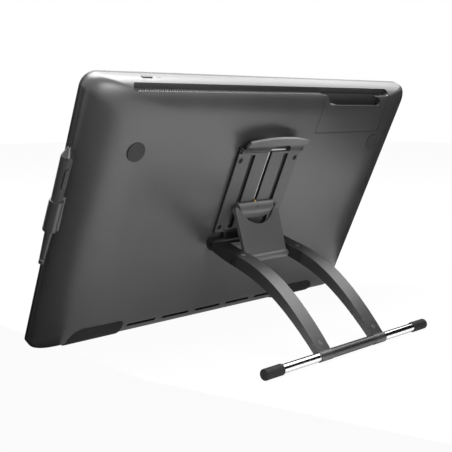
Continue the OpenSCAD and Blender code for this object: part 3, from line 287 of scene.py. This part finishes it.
def loft(name, rings):
    """A closed piece through rings of points, with a flat face at each end."""
    mesh = bmesh.new()
    rows = [[mesh.verts.new(point) for point in ring] for ring in rings]
    count = len(rows[0])
    for low, high in zip(rows, rows[1:]):
        for j in range(count):
            k = (j + 1) % count
            mesh.faces.new((low[j], low[k], high[k], high[j]))
    mesh.faces.new(rows[0][::-1])
    mesh.faces.new(rows[-1])
    return piece_from(name, mesh)


def rounded_back(name, skin, front, down=0.0, back=0.0):
    """The solid of the back, so far inside its outer surface, from a depth, moved down and back."""

    def rounded_in(share, reach, fullness):
        return reach * (1 - (1 - share ** fullness) ** (1 / fullness))

    def ring(share, w):
        half = TABLET_WIDE / 2 - skin - rounded_in(share, SIDE_ROUND - skin, 2)
        top = TABLET_TALL - skin - rounded_in(share, TOP_ROUND - skin, TOP_FULLNESS)
        low = skin + rounded_in(share, BOTTOM_ROUND - skin, 2)
        points = []
        for quarter, (side, upper) in enumerate(((1, True), (-1, True), (-1, False), (1, False))):
            r = (CORNER_TOP if upper else CORNER_LOW) + CORNER_SWELL * share ** 2 - skin
            x = side * (half - r)
            u = top - r if upper else low + r
            for k in range(CORNER_STEPS + 1):
                turn = math.radians(90 * (quarter + k / CORNER_STEPS))
                points.append(on_tablet(x + r * math.cos(turn), u + r * math.sin(turn) - down, w + back))
        return points

    shares = [min(1.0, math.sin(math.pi / 2 * k / BACK_STEPS)) for k in range(BACK_STEPS + 1)]
    depth = TABLET_DEEP - EDGE_D - skin
    return loft(name, [ring(0, front)] + [ring(s, EDGE_D + depth * s) for s in shares])


def settle(piece):
    """Makes what the modifiers show the piece's own mesh."""
    shown = piece.evaluated_get(bpy.context.evaluated_depsgraph_get())
    old = piece.data
    piece.data = bpy.data.meshes.new_from_object(shown)
    piece.modifiers.clear()
    bpy.data.meshes.remove(old)


def combine(piece, *others, how="DIFFERENCE"):
    """Cuts other solids out of a piece, adds them, or keeps what they share with it."""
    for other in others:
        step = piece.modifiers.new("combine", "BOOLEAN")
        step.operation = how
        step.solver = "EXACT"
        step.material_mode = "TRANSFER" if other.data.materials else "INDEX"
        step.object = other
        settle(piece)
        bpy.data.objects.remove(other)
    return piece


def across(outline, x0, x1):
    """A solid with a profile in height and depth, from one place across to another."""
    return loft("across", [[on_tablet(x, u, w) for u, w in outline] for x in (x0, x1)])


def deep(outline, w0, w1):
    """A solid with a plan in x and height, from one depth to another."""
    return loft("deep", [[on_tablet(x, u, w) for x, u in outline] for w in (w0, w1)])


def upright(outline, u0, u1):
    """A solid with a plan in x and depth, from one height to another."""
    return loft("upright", [[on_tablet(x, u, w) for x, w in outline] for u in (u0, u1)])


def rectangle(x0, x1, y0, y1):
    """Corners of a rectangle."""
    return [(x0, y0), (x1, y0), (x1, y1), (x0, y1)]


def rounded_rectangle(x0, x1, y0, y1, r, steps=8):
    """Points round a rectangle with round corners, of one radius or of four."""
    radii = r if isinstance(r, tuple) else (r,) * 4
    corners = ((x1, y1, -1, -1), (x0, y1, 1, -1), (x0, y0, 1, 1), (x1, y0, -1, 1))
    points = []
    for quarter, (x, y, right, up) in enumerate(corners):
        r = radii[quarter]
        for k in range(steps + 1):
            turn = math.radians(90 * (quarter + k / steps))
            points.append((x + right * r + r * math.cos(turn), y + up * r + r * math.sin(turn)))
    return points


HAIR = 0.01


def disc(x, y, r, steps=8):
    """Points round a circle."""
    return rounded_rectangle(x - r, x + r, y - r, y + r, r - HAIR, steps)


def ease(piece, edge):
    """Rounds a built piece's edges for good, and smooths it between its sharp edges."""
    round_edges(piece, edge)
    settle(piece)
    piece.data.shade_smooth()
    piece.data.set_sharp_from_angle(angle=SHARP)
    piece.modifiers.new("shading", "WEIGHTED_NORMAL").keep_sharp = True


OVERCUT = 1
SLOT_X = (-251, 264.5)
SLOT_U = (389.8, 399.2)
SLOT_W = 23
BAY_X = (-233, -95.4)
BAY_U = 339
BAY_W = 28
FLOOR_T = 2
COVER_X = (-248, -91)
COVER_U = 331
COVER_GAP = 0.8
COVER_T = 2.3
COVER_BED = 4
COVER_CLEAR = 0.3
GRILLE_X = (-85, 255.9)
GRILLE_W = (29.3, 34.9)

hollow = rounded_back("hollow", WALL, SEAM_D - OVERCUT)
round_slot = rectangle(SLOT_U[0] - WALL, TABLET_TALL, SLOT_W - FLOOR_T, BEYOND)
combine(hollow, across(round_slot, SLOT_X[0] - WALL, SLOT_X[1] + WALL))
round_bay = rectangle(BAY_X[0] - WALL, BAY_X[1] + WALL, BAY_U - WALL, TABLET_TALL)
combine(hollow, deep(round_bay, BAY_W - FLOOR_T, BEYOND))
round_cover = rectangle(COVER_X[0] - WALL, COVER_X[1] + WALL, COVER_U - WALL, SLOT_U[0])
combine(hollow, deep(round_cover, TABLET_DEEP - WALL - COVER_BED, BEYOND))
cover = combine(rounded_back("rear_shell", 0, SEAM_D), hollow)
housing_plastic = moulded(
    "housing_plastic", tones=(68, 76), roughness=0.36, grain=2200, depth=0.00004, specular=1.0)
cover.data.materials.append(housing_plastic.material)

slot_r = (SLOT_U[1] - SLOT_U[0]) / 2 - HAIR
combine(cover, deep(rounded_rectangle(*SLOT_X, *SLOT_U, slot_r), SLOT_W, BEYOND))
combine(cover, deep(rectangle(*BAY_X, BAY_U, SLOT_U[0] + OVERCUT), BAY_W, BEYOND))
recess = deep(rectangle(
    COVER_X[0] - COVER_GAP, COVER_X[1] + COVER_GAP, COVER_U - COVER_GAP, SLOT_U[0] + OVERCUT / 2),
    BAY_W, BEYOND)
combine(cover, combine(recess, rounded_back("under_cover", COVER_T + COVER_CLEAR, SEAM_D)))
combine(cover, across(rectangle(SLOT_U[0] - 2 * WALL, SLOT_U[0] + OVERCUT, *GRILLE_W), *GRILLE_X))

SOCKETS = ((-146.4, 40, 10), (-182.4, 12, 11), (-203.9, 11, 11))
SOCKET_U = (320.7, 339.3)
SOCKET_GAP = 0.3
BOARD_W = 28.2
for x, length, depth in SOCKETS:
    reach = length / 2 + SOCKET_GAP
    combine(cover, upright(rectangle(
        x - reach, x + reach, BOARD_W, BOARD_W + depth + 2 * SOCKET_GAP), *SOCKET_U))

VENT_LONG, VENT_WIDE, VENT_PITCH = 53, 3.4, 66
VENT_TURN = math.radians(74)
VENT_DRAFT = 1.0
VENT_REACH = 8
UNDER_SHIFT = 20
# The vents' walls get a near-black finish: painted shade inside the openings.
shield_paint = Finish("shield_paint", {"Specular IOR Level": 0.1})
mist = shield_paint.noise(1600, 2)
shield_paint.surface(
    Base_Color=shield_paint.between(mist, grey(12), grey(20)), Roughness=0.8 + mist * 0.1)
back_d = TABLET_DEEP - EDGE_D
inward = Vector((math.cos(VENT_TURN) / BOTTOM_ROUND, -math.sin(VENT_TURN) / back_d)).normalized()
vent_u = BOTTOM_ROUND * (1 - math.cos(VENT_TURN))
vent_w = EDGE_D + back_d * math.sin(VENT_TURN)
for k in range(-2, 3):
    rings = []
    for h in (-VENT_REACH, WALL, VENT_REACH):
        half = VENT_WIDE / 2 + VENT_DRAFT * max(0.0, 1 - h / WALL)
        plan = rounded_rectangle(-VENT_LONG / 2, VENT_LONG / 2, -half, half, half - HAIR)
        rings.append([on_tablet(
            UNDER_SHIFT + VENT_PITCH * k + x, vent_u - inward.y * y + inward.x * h,
            vent_w + inward.x * y + inward.y * h) for x, y in plan])
    vent = loft("vent", rings)
    vent.data.materials.append(shield_paint.material)
    combine(cover, vent)

PAD_X, PAD_U, PAD_ACROSS, PAD_T = 243.6, 311.8, 27, 1.5
PAD_GAP = 0.15
for side in (-1, 1):
    seat = disc(side * PAD_X, PAD_U, PAD_ACROSS / 2 + PAD_GAP, 16)
    combine(cover, deep(seat, TABLET_DEEP - PAD_T, BEYOND))

BUTTON = (235.3, 17, 17.6, 5.6)
LAMP = (216.3, 17, 6, 1.8)
LAMP_R = 0.2
for (x, w, length, width), r in ((BUTTON, BUTTON[3] / 2 - HAIR), (LAMP, LAMP_R)):
    combine(cover, upright(rounded_rectangle(
        x - length / 2, x + length / 2, w - width / 2, w + width / 2, r),
        TABLET_TALL - 2 * WALL, TABLET_TALL + OVERCUT))

HOLDER_U = (191.35, 240.65)
HOLDER_W = (7.85, 20.05)
HOLDER_IN = 6.15
side_x = TABLET_WIDE / 2
combine(cover, deep(rectangle(side_x - HOLDER_IN, side_x + 2 * OVERCUT, *HOLDER_U), *HOLDER_W))

NOTCH_U = 375.8
LEDGE_LOW, LEDGE_HIGH = 17, 31
LEDGE_T = 2
LEDGE_HOLE = 4
ledge_end = BAY_X[1] + OVERCUT
ledge = upright([
    (ledge_end, BAY_W - OVERCUT), (BAY_X[1] - LEDGE_LOW, BAY_W - OVERCUT),
    (BAY_X[1] - LEDGE_HIGH, TABLET_DEEP), (ledge_end, TABLET_DEEP)], NOTCH_U - LEDGE_T, NOTCH_U)
hole = disc(BAY_X[1] - LEDGE_LOW, BAY_W + 1.5 * LEDGE_HOLE, LEDGE_HOLE / 2)
combine(ledge, upright(hole, NOTCH_U - LEDGE_T - OVERCUT, NOTCH_U + OVERCUT))
combine(ledge, rounded_back("ledge_form", COVER_T + 2 * COVER_CLEAR, SEAM_D), how="INTERSECT")
# The ledge gets a pale finish: painted light on the ledge, where light falls on it.
pale_tab = moulded("pale_tab", tones=(150, 164), roughness=0.4)
ledge.data.materials.append(pale_tab.material)
combine(cover, ledge, how="UNION")

ease(cover, 0.6)
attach(cover, "tablet")
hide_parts("rear_cover")

# Vent grille
# Slanted ribs between two rails, moulded in grey plastic and clipped along the floor of the slot.
# Warm air leaves between the ribs.

grille_plastic = moulded("grille_plastic", tones=(108, 120), roughness=0.36, specular=1.0)
dress(grille_plastic, "vent_grille", edge=0.25)

# Port cover and sockets
# A lift-off panel in the housing's own plastic, notched for the cables that leave the bay.
# Behind it are the power, data and video sockets on the edge of the main board.

NOTCH_X = (-230, -107)
NOTCH_R = 6.1
NOTCH_STEPS = 16
NOTCH_FLARE = 11.6
HOOK_REACH, HOOK_DROP = 13, 1.2
notch_top = SLOT_U[0] + OVERCUT
hook_x = NOTCH_X[0] + HOOK_REACH
round_end = [
    (NOTCH_X[0] + NOTCH_R - NOTCH_R * math.sin(a), NOTCH_U + NOTCH_R + NOTCH_R * math.cos(a))
    for a in (math.pi * k / NOTCH_STEPS for k in range(NOTCH_STEPS + 1))]
notch = deep(round_end + [
    (NOTCH_X[1], NOTCH_U), (NOTCH_X[1] + NOTCH_FLARE, notch_top),
    (hook_x, notch_top), (hook_x, SLOT_U[0] - HOOK_DROP)], BAY_W, BEYOND + OVERCUT)
lid = combine(
    rounded_back("port_lid", 0, SEAM_D), rounded_back("lid_inside", COVER_T, SEAM_D - OVERCUT))
combine(lid, deep(rectangle(*COVER_X, COVER_U, SLOT_U[0]), BAY_W, BEYOND), how="INTERSECT")
combine(lid, notch)
ease(lid, 0.6)
lid.data.materials.append(housing_plastic.material)
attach(lid, "port_lid")
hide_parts("port_cover")
socket_plastic = moulded("socket_plastic", tones=(34, 40), roughness=0.4)
dress(socket_plastic, "power_socket", edge=0.2)

# Round pads and feet
# Two round pads of grey rubber let into the back, and two darker feet that wrap the lower edge.
# The pads are glued in their seats; the feet are moulded to the housing's curve and pegged on.


def soft_rubber(name, tones):
    """Moulded rubber: a dull skin with a faint bloom."""
    finish = Finish(name, {"Specular IOR Level": 0.3})
    bloom = finish.noise(22, 4, 0.6)
    skin = finish.noise(1900, 3, 0.65)
    dark, light = map(grey, tones)
    return finish.surface(
        Base_Color=finish.between(finish.limit(bloom, 0.3, 0.7), dark, light),
        Roughness=0.58 + skin * 0.2,
        Normal=finish.relief(skin, 0.00005, 0.6))


dress(soft_rubber("pad_rubber", tones=(60, 68)), "round_pads", edge=0.3)

FOOT_X, FOOT_LONG, FOOT_RISE = 211, 86, 38.8
FOOT_OUTER_R, FOOT_INNER_R = 24, 6
FOOT_DROP = 1.614
FOOT_T = 0.8
FOOT_START = EDGE_D + 2
FOOT_END = 90
TABLE_HALF = 1
TABLE_T = 0.1
foot_rubber = soft_rubber("foot_rubber", tones=(38, 46))
for side, name in ((-1, "foot_left"), (1, "foot_right")):
    foot = rounded_back(name, 0, EDGE_D, FOOT_DROP, FOOT_T)
    x = UNDER_SHIFT + side * FOOT_X
    right, left = (FOOT_OUTER_R, FOOT_INNER_R) if side > 0 else (FOOT_INNER_R, FOOT_OUTER_R)
    plan = rounded_rectangle(
        x - FOOT_LONG / 2, x + FOOT_LONG / 2, -FOOT_RISE, FOOT_RISE, (right, left, left, right))
    combine(foot, deep(plan, FOOT_START, FOOT_END), how="INTERSECT")
    combine(foot, rounded_back("housing_form", 0, SEAM_D))
    under = rectangle(-TABLE_HALF, TABLE_HALF, -TABLE_HALF, TABLE_HALF)
    combine(foot, loft("table", [[(*corner, z) for corner in under] for z in (-TABLE_T, 0)]))
    ease(foot, 0.3)
    foot.data.materials.append(foot_rubber.material)
    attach(foot, "tablet")
    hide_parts("rubber_feet")

# Power button and lamp
# A long button in the top edge, held by a flange below the wall, and a clear lamp beside it.
# The lamp is a light guide from the board below.

dress(key_plastic, "power_button", edge=0.3)
lamp_plastic = Finish("lamp_plastic", {"IOR": 1.49, "Transmission Weight": 0.4, "Roughness": 0.25})
milk = lamp_plastic.noise(900, 2)
lamp_plastic.surface(Base_Color=lamp_plastic.between(milk, grey(150), grey(190)))
dress(lamp_plastic, "power_lamp", edge=0.2)

# Track plate and its screws
# The stand's fixed half, moulded in grey: two rails, two grooves and a slotted centre track.
# Painted shade blackens the grooves and the legs' hinge barrel below the rails.
# The hinge barrel and the lever's ears are part of it; four black screws hold it.

PLATE_T = 4.8
RAIL_U = 174
GROOVE_SHADE_FADE = (-0.0016, -0.0007)
BARREL_SHADE_FADE = (-0.001, 0.001)


def along(finish, start, end):
    """How far a point of the surface lies from one place towards another, in metres."""
    way = (end - start).normalized()
    reach = finish.node("ShaderNodeVectorMath", {"operation": "DOT_PRODUCT"}, {
        0: finish.place, 1: way}, out="Value")
    return reach - start.dot(way)


def painted_shade(finish, mask):
    """Paints shade into a finish: near black where a mask is none, the finish as it was where the mask is
    one.
    """
    plain = Wire(finish, finish.shader.inputs["Base Color"].links[0].from_socket)
    finish.surface(Base_Color=finish.between(mask, grey(14), plain))


track_plastic = moulded(
    "track_plastic", tones=(60, 68), roughness=0.4, grain=2400, depth=0.00004, specular=0.9)
face = on_tablet(0, RAIL_U, TABLET_DEEP + PLATE_T)
above_grooves = along(track_plastic, face, face * 2 - on_tablet(0, RAIL_U, TABLET_DEEP))
above_barrel = along(track_plastic, face, on_tablet(0, RAIL_U + 1, TABLET_DEEP + PLATE_T))
# Painted shade: near black in the grooves, deeper than the rails' face, and on the hinge barrel below the
# rails.
painted_shade(track_plastic, track_plastic.limit(above_grooves, *GROOVE_SHADE_FADE)
          * track_plastic.limit(above_barrel, *BARREL_SHADE_FADE))
dress(track_plastic, "track_plate", edge=0.5)
black_screw = Finish("black_screw", {"Metallic": 0.7})
wear = black_screw.noise(700, 3)
black_screw.surface(
    Base_Color=black_screw.between(wear, grey(40), grey(58)), Roughness=0.35 + wear * 0.2)
dress(black_screw, "plate_screws", edge=0.3)

# Pins, shaft and lock bar
# Bright turned pins and screws, a blackened hinge shaft and brace pin, and the toothed lock bar.
# The bar is punched from strip; its crosspiece lies in the lever's notch, and the lever draws it up its slot.

turned_steel = Finish("turned_steel", {"Metallic": 1.0})
turning = turned_steel.noise(500, 2, 0.5, turned_steel.stretched((6, 0.4, 0.4)))
turned_steel.surface(
    Base_Color=turned_steel.between(turning, grey(150), grey(190)),
    Roughness=0.22 + turning * 0.22,
    Normal=turned_steel.relief(turning, 0.00001, 0.4))
dress(turned_steel, "lever_pin", "carriage_pin", "lock_bar", "arm_screws", edge=0.2)
dress(black_screw, "hinge_shaft", "brace_pin", edge=0.2)

# Release lever
# A bowed flap that is pressed towards the back to draw the lock, moulded in satin grey, with painted shade at
# its root.
# It turns on a pin between two ears, with a notch in its root for the lock bar.

LEVER_U, LEVER_W = 309.3, 49.2
LEVER_TURN = math.radians(32)
ROOT_SHADE_FADE = (0.008, 0.014)
lever_plastic = moulded("lever_plastic", tones=(96, 106), roughness=0.36, specular=0.9)
out_of_root = along(lever_plastic, on_tablet(0, LEVER_U, LEVER_W), on_tablet(
    0, LEVER_U + math.cos(LEVER_TURN), LEVER_W + math.sin(LEVER_TURN)))
# Painted shade blackens the lever's root, up to 8 mm from its pivot and fading out by 14 mm.
painted_shade(lever_plastic, lever_plastic.limit(out_of_root, *ROOT_SHADE_FADE))
dress(lever_plastic, "release_lever", edge=1.0)

# Arms, brace and carriage
# The arms are cast and painted black, and the brace grey; the carriage is moulded and slides in the track.
# A brass pawl under the carriage drops on the lock bar's teeth.


def satin_paint(name, tones):
    """Sprayed satin paint over a casting: faint orange peel, and a film of uneven tone."""
    finish = Finish(name, {"Specular IOR Level": 0.7})
    peel = finish.noise(420, 3, 0.55)
    film = finish.noise(9, 3)
    dark, light = map(grey, tones)
    return finish.surface(
        Base_Color=finish.between(finish.limit(film, 0.3, 0.7), dark, light),
        Roughness=0.36 + (film - 0.5) * 0.12,
        Normal=finish.relief(peel, 0.00002, 0.5))


dress(satin_paint("grey_paint", tones=(98, 106)), "brace", edge=0.8)
dress(satin_paint("black_paint", tones=(30, 38)), "arms", edge=1.0)
carriage_plastic = moulded("carriage_plastic", tones=(106, 116), roughness=0.34, specular=0.8)
dress(carriage_plastic, "carriage", edge=0.6)
brass = Finish("turned_brass", {"Metallic": 1.0})
tarnish = brass.noise(600, 3)
brass.surface(
    Base_Color=brass.between(tarnish, (0.5, 0.34, 0.1, 1), (0.72, 0.52, 0.2, 1)),
    Roughness=0.25 + tarnish * 0.2)
dress(brass, "lock_pawl", edge=0.2)

# Legs, plugs and sleeve
# Two curved legs moulded in charcoal plastic with a speckled grain, with round plugs over their screws.
# They are clamped on the foot bar, and a sleeve keeps them apart.

leg_plastic = moulded(
    "leg_plastic", tones=(34, 46), roughness=0.38, grain=1500, depth=0.00006, specular=1.0)
dress(leg_plastic, "leg_left", "leg_right", edge=1.2)
plug_plastic = moulded("plug_plastic", tones=(56, 64), roughness=0.4, specular=0.9)
dress(plug_plastic, "leg_plugs", edge=0.3)
sleeve_plastic = moulded("sleeve_plastic", tones=(28, 36), roughness=0.36, specular=0.8)
dress(sleeve_plastic, "bar_sleeve", edge=0.3)

# Foot bar and caps
# A polished chrome tube that lies on the table, with rubber caps pressed on its ends.
# The caps keep the stand from sliding.

chrome = Finish("polished_chrome", {"Metallic": 1.0})
polish = chrome.noise(1400, 3, 0.6, chrome.stretched((0.3, 4, 4)))
chrome.surface(
    Base_Color=chrome.between(polish, grey(222), grey(236)), Roughness=0.12 + polish * 0.06)
dress(chrome, "foot_bar", edge=0.3)
dress(soft_rubber("cap_rubber", tones=(22, 28)), "bar_caps", edge=0.4)

# Pen and holder
# A tapered pen with a soft grip, rocker switch, nose, nib and eraser, pushed into a holder.
# The holder's foot is let into the side of the rear cover.

pen_plastic = moulded(
    "pen_plastic", tones=(80, 88), roughness=0.3, grain=2800, depth=0.00002, specular=1.0)
dress(pen_plastic, "pen_holder", "pen_barrel", "pen_eraser", edge=0.4)
soft_grip = Finish("soft_grip", {"Specular IOR Level": 0.3})
velvet = soft_grip.noise(2400, 3, 0.6)
soft_grip.surface(
    Base_Color=soft_grip.between(velvet, grey(74), grey(84)),
    Roughness=0.5 + velvet * 0.2,
    Normal=soft_grip.relief(velvet, 0.00004, 0.6))
dress(soft_grip, "pen_grip", edge=0.3)
dress(soft_grip, "pen_switch", edge=0.4)
pen_trim = Finish("pen_trim", {"Specular IOR Level": 0.9})
brushing = pen_trim.noise(900, 3)
pen_trim.surface(
    Base_Color=pen_trim.between(brushing, grey(50), grey(62)), Roughness=0.22 + brushing * 0.15)
dress(pen_trim, "pen_nose", edge=0.2)
dress(socket_plastic, "pen_nib", edge=0.1)

# Table, light and camera
# A plain pale table, a broad lamp overhead, a soft one high behind the screen and one on the camera's side.
# Four dark cards out of the picture keep light off parts of the object and are mirrored in its gloss.
# The camera stands where the photograph was taken from.

TABLE_REACH = 6
TABLE_WHITE = 0.96
TABLE_MIRRORED = 0.3
table_mesh = bmesh.new()
bmesh.ops.create_grid(table_mesh, x_segments=1, y_segments=1, size=TABLE_REACH)
table_top = piece_from("table_top", table_mesh)


def sees_background(nodes, mirrored):
    """One for a ray from the camera, a share for one from a mirror-like or clear surface, else none."""
    seen, glossy, through = (nodes.node("ShaderNodeLightPath", out=name) for name in (
        "Is Camera Ray", "Is Glossy Ray", "Is Transmission Ray"))
    return nodes.limit(seen + (glossy + through) * mirrored, 0, 1)


pale_table = Finish("pale_table", {"Roughness": 0.9, "Specular IOR Level": 0.1})
mottle = pale_table.noise(3, 3)
pale_table.surface(Base_Color=pale_table.between(mottle, grey(238), grey(244)))
white = pale_table.node(
    "ShaderNodeEmission", None, {"Color": (1, 1, 1, 1), "Strength": 1.0}, out="Emission")
lit = pale_table.node("ShaderNodeMixShader", None, {
    0: sees_background(pale_table, TABLE_MIRRORED) * TABLE_WHITE,
    1: Wire(pale_table, pale_table.shader.outputs[0]), 2: white})
pale_table.tree.links.new(lit.socket, pale_table.tree.nodes["Material Output"].inputs["Surface"])
table_top.data.materials.append(pale_table.material)

world = bpy.data.worlds.new("studio")
bpy.context.scene.world = world
world.use_nodes = True
studio = Nodes(world.node_tree)
room = studio.node("ShaderNodeBackground", None, {"Color": (0.95, 0.97, 1.0, 1), "Strength": 0.16})
backdrop = studio.node("ShaderNodeBackground", None, {"Color": (1, 1, 1, 1), "Strength": 1.0})
both = studio.node("ShaderNodeMixShader", None, {
    0: sees_background(studio, 1.0), 1: room, 2: backdrop})
studio.tree.links.new(both.socket, studio.tree.nodes["World Output"].inputs["Surface"])


def soft_light(name, place, target, size, watts):
    """A large rectangular lamp at a place, turned to a target."""
    lamp = bpy.data.lights.new(name, "AREA")
    lamp.shape = "RECTANGLE"
    lamp.size, lamp.size_y = size
    lamp.energy = watts
    light = bpy.data.objects.new(name, lamp)
    light.location = place
    light.rotation_euler = (Vector(target) - Vector(place)).to_track_quat("-Z", "Y").to_euler()
    bpy.context.scene.collection.objects.link(light)


soft_light("sky_light", place=(-1.25, -0.12, 1.64), target=(0, 0, 0.37), size=(1.9, 1.5), watts=18)
soft_light("top_light", place=(-0.2, -0.45, 2.3), target=(-0.2, -0.45, 0), size=(2.2, 2.0), watts=118)
soft_light("back_light", place=(0.3, 2.3, 0.45), target=(0, 0, 0.2), size=(1.2, 0.7), watts=24)

dark_card = Finish("dark_card", {"Roughness": 0.9, "Specular IOR Level": 0.0})
weave = dark_card.noise(400, 2)
dark_card.surface(Base_Color=dark_card.between(weave, grey(16), grey(24)))
LYING_Z = 0.001
STANDING_Z = 0.002


def card(name, corners):
    """A dark card beside the object, out of the picture, which keeps light off one side of it."""
    mesh = bmesh.new()
    mesh.faces.new([mesh.verts.new(corner) for corner in corners])
    sheet = piece_from(name, mesh)
    sheet.data.materials.append(dark_card.material)
    sheet.visible_camera = False


def standing(near, far, high):
    """Corners of a card that stands between two places."""
    return [(*near, STANDING_Z), (*far, STANDING_Z), (*far, high), (*near, high)]


card("left_card", [(x, y, LYING_Z) for x, y in (
    (0.28, -0.9), (1.2, -0.9), (1.2, 0.8), (0.05, 0.8), (0.27, 0.05))])
card("right_card", standing((-0.42, -0.3), (-0.42, 0.03), high=0.42))
card("back_card", standing((-0.85, -0.08), (0.05, 0.82), high=0.42))
card("front_card", standing((0.55, -1.1), (1.35, -0.35), high=0.5))

YAW = math.radians(43.242)
PITCH = math.radians(8.382)
SENSOR = 36
PICTURE = 452
FOCAL = 802.12
CAMERA_X, CAMERA_Y, CAMERA_Z = 0.85411, 0.98003, 0.33104
camera_data = bpy.data.cameras.new("camera")
camera_data.sensor_width = SENSOR
camera_data.lens = SENSOR * FOCAL / PICTURE
camera = bpy.data.objects.new("camera", camera_data)
view = Vector((-math.sin(YAW) * math.cos(PITCH), -math.cos(YAW) * math.cos(PITCH), -math.sin(PITCH)))
origin = on_tablet(0, 0, 0)
camera.location = (origin.x + CAMERA_X, origin.y + CAMERA_Y, CAMERA_Z)
camera.rotation_euler = view.to_track_quat("-Z", "Y").to_euler()
bpy.context.scene.collection.objects.link(camera)
bpy.context.scene.camera = camera
bpy.context.scene.view_settings.view_transform = "Standard"
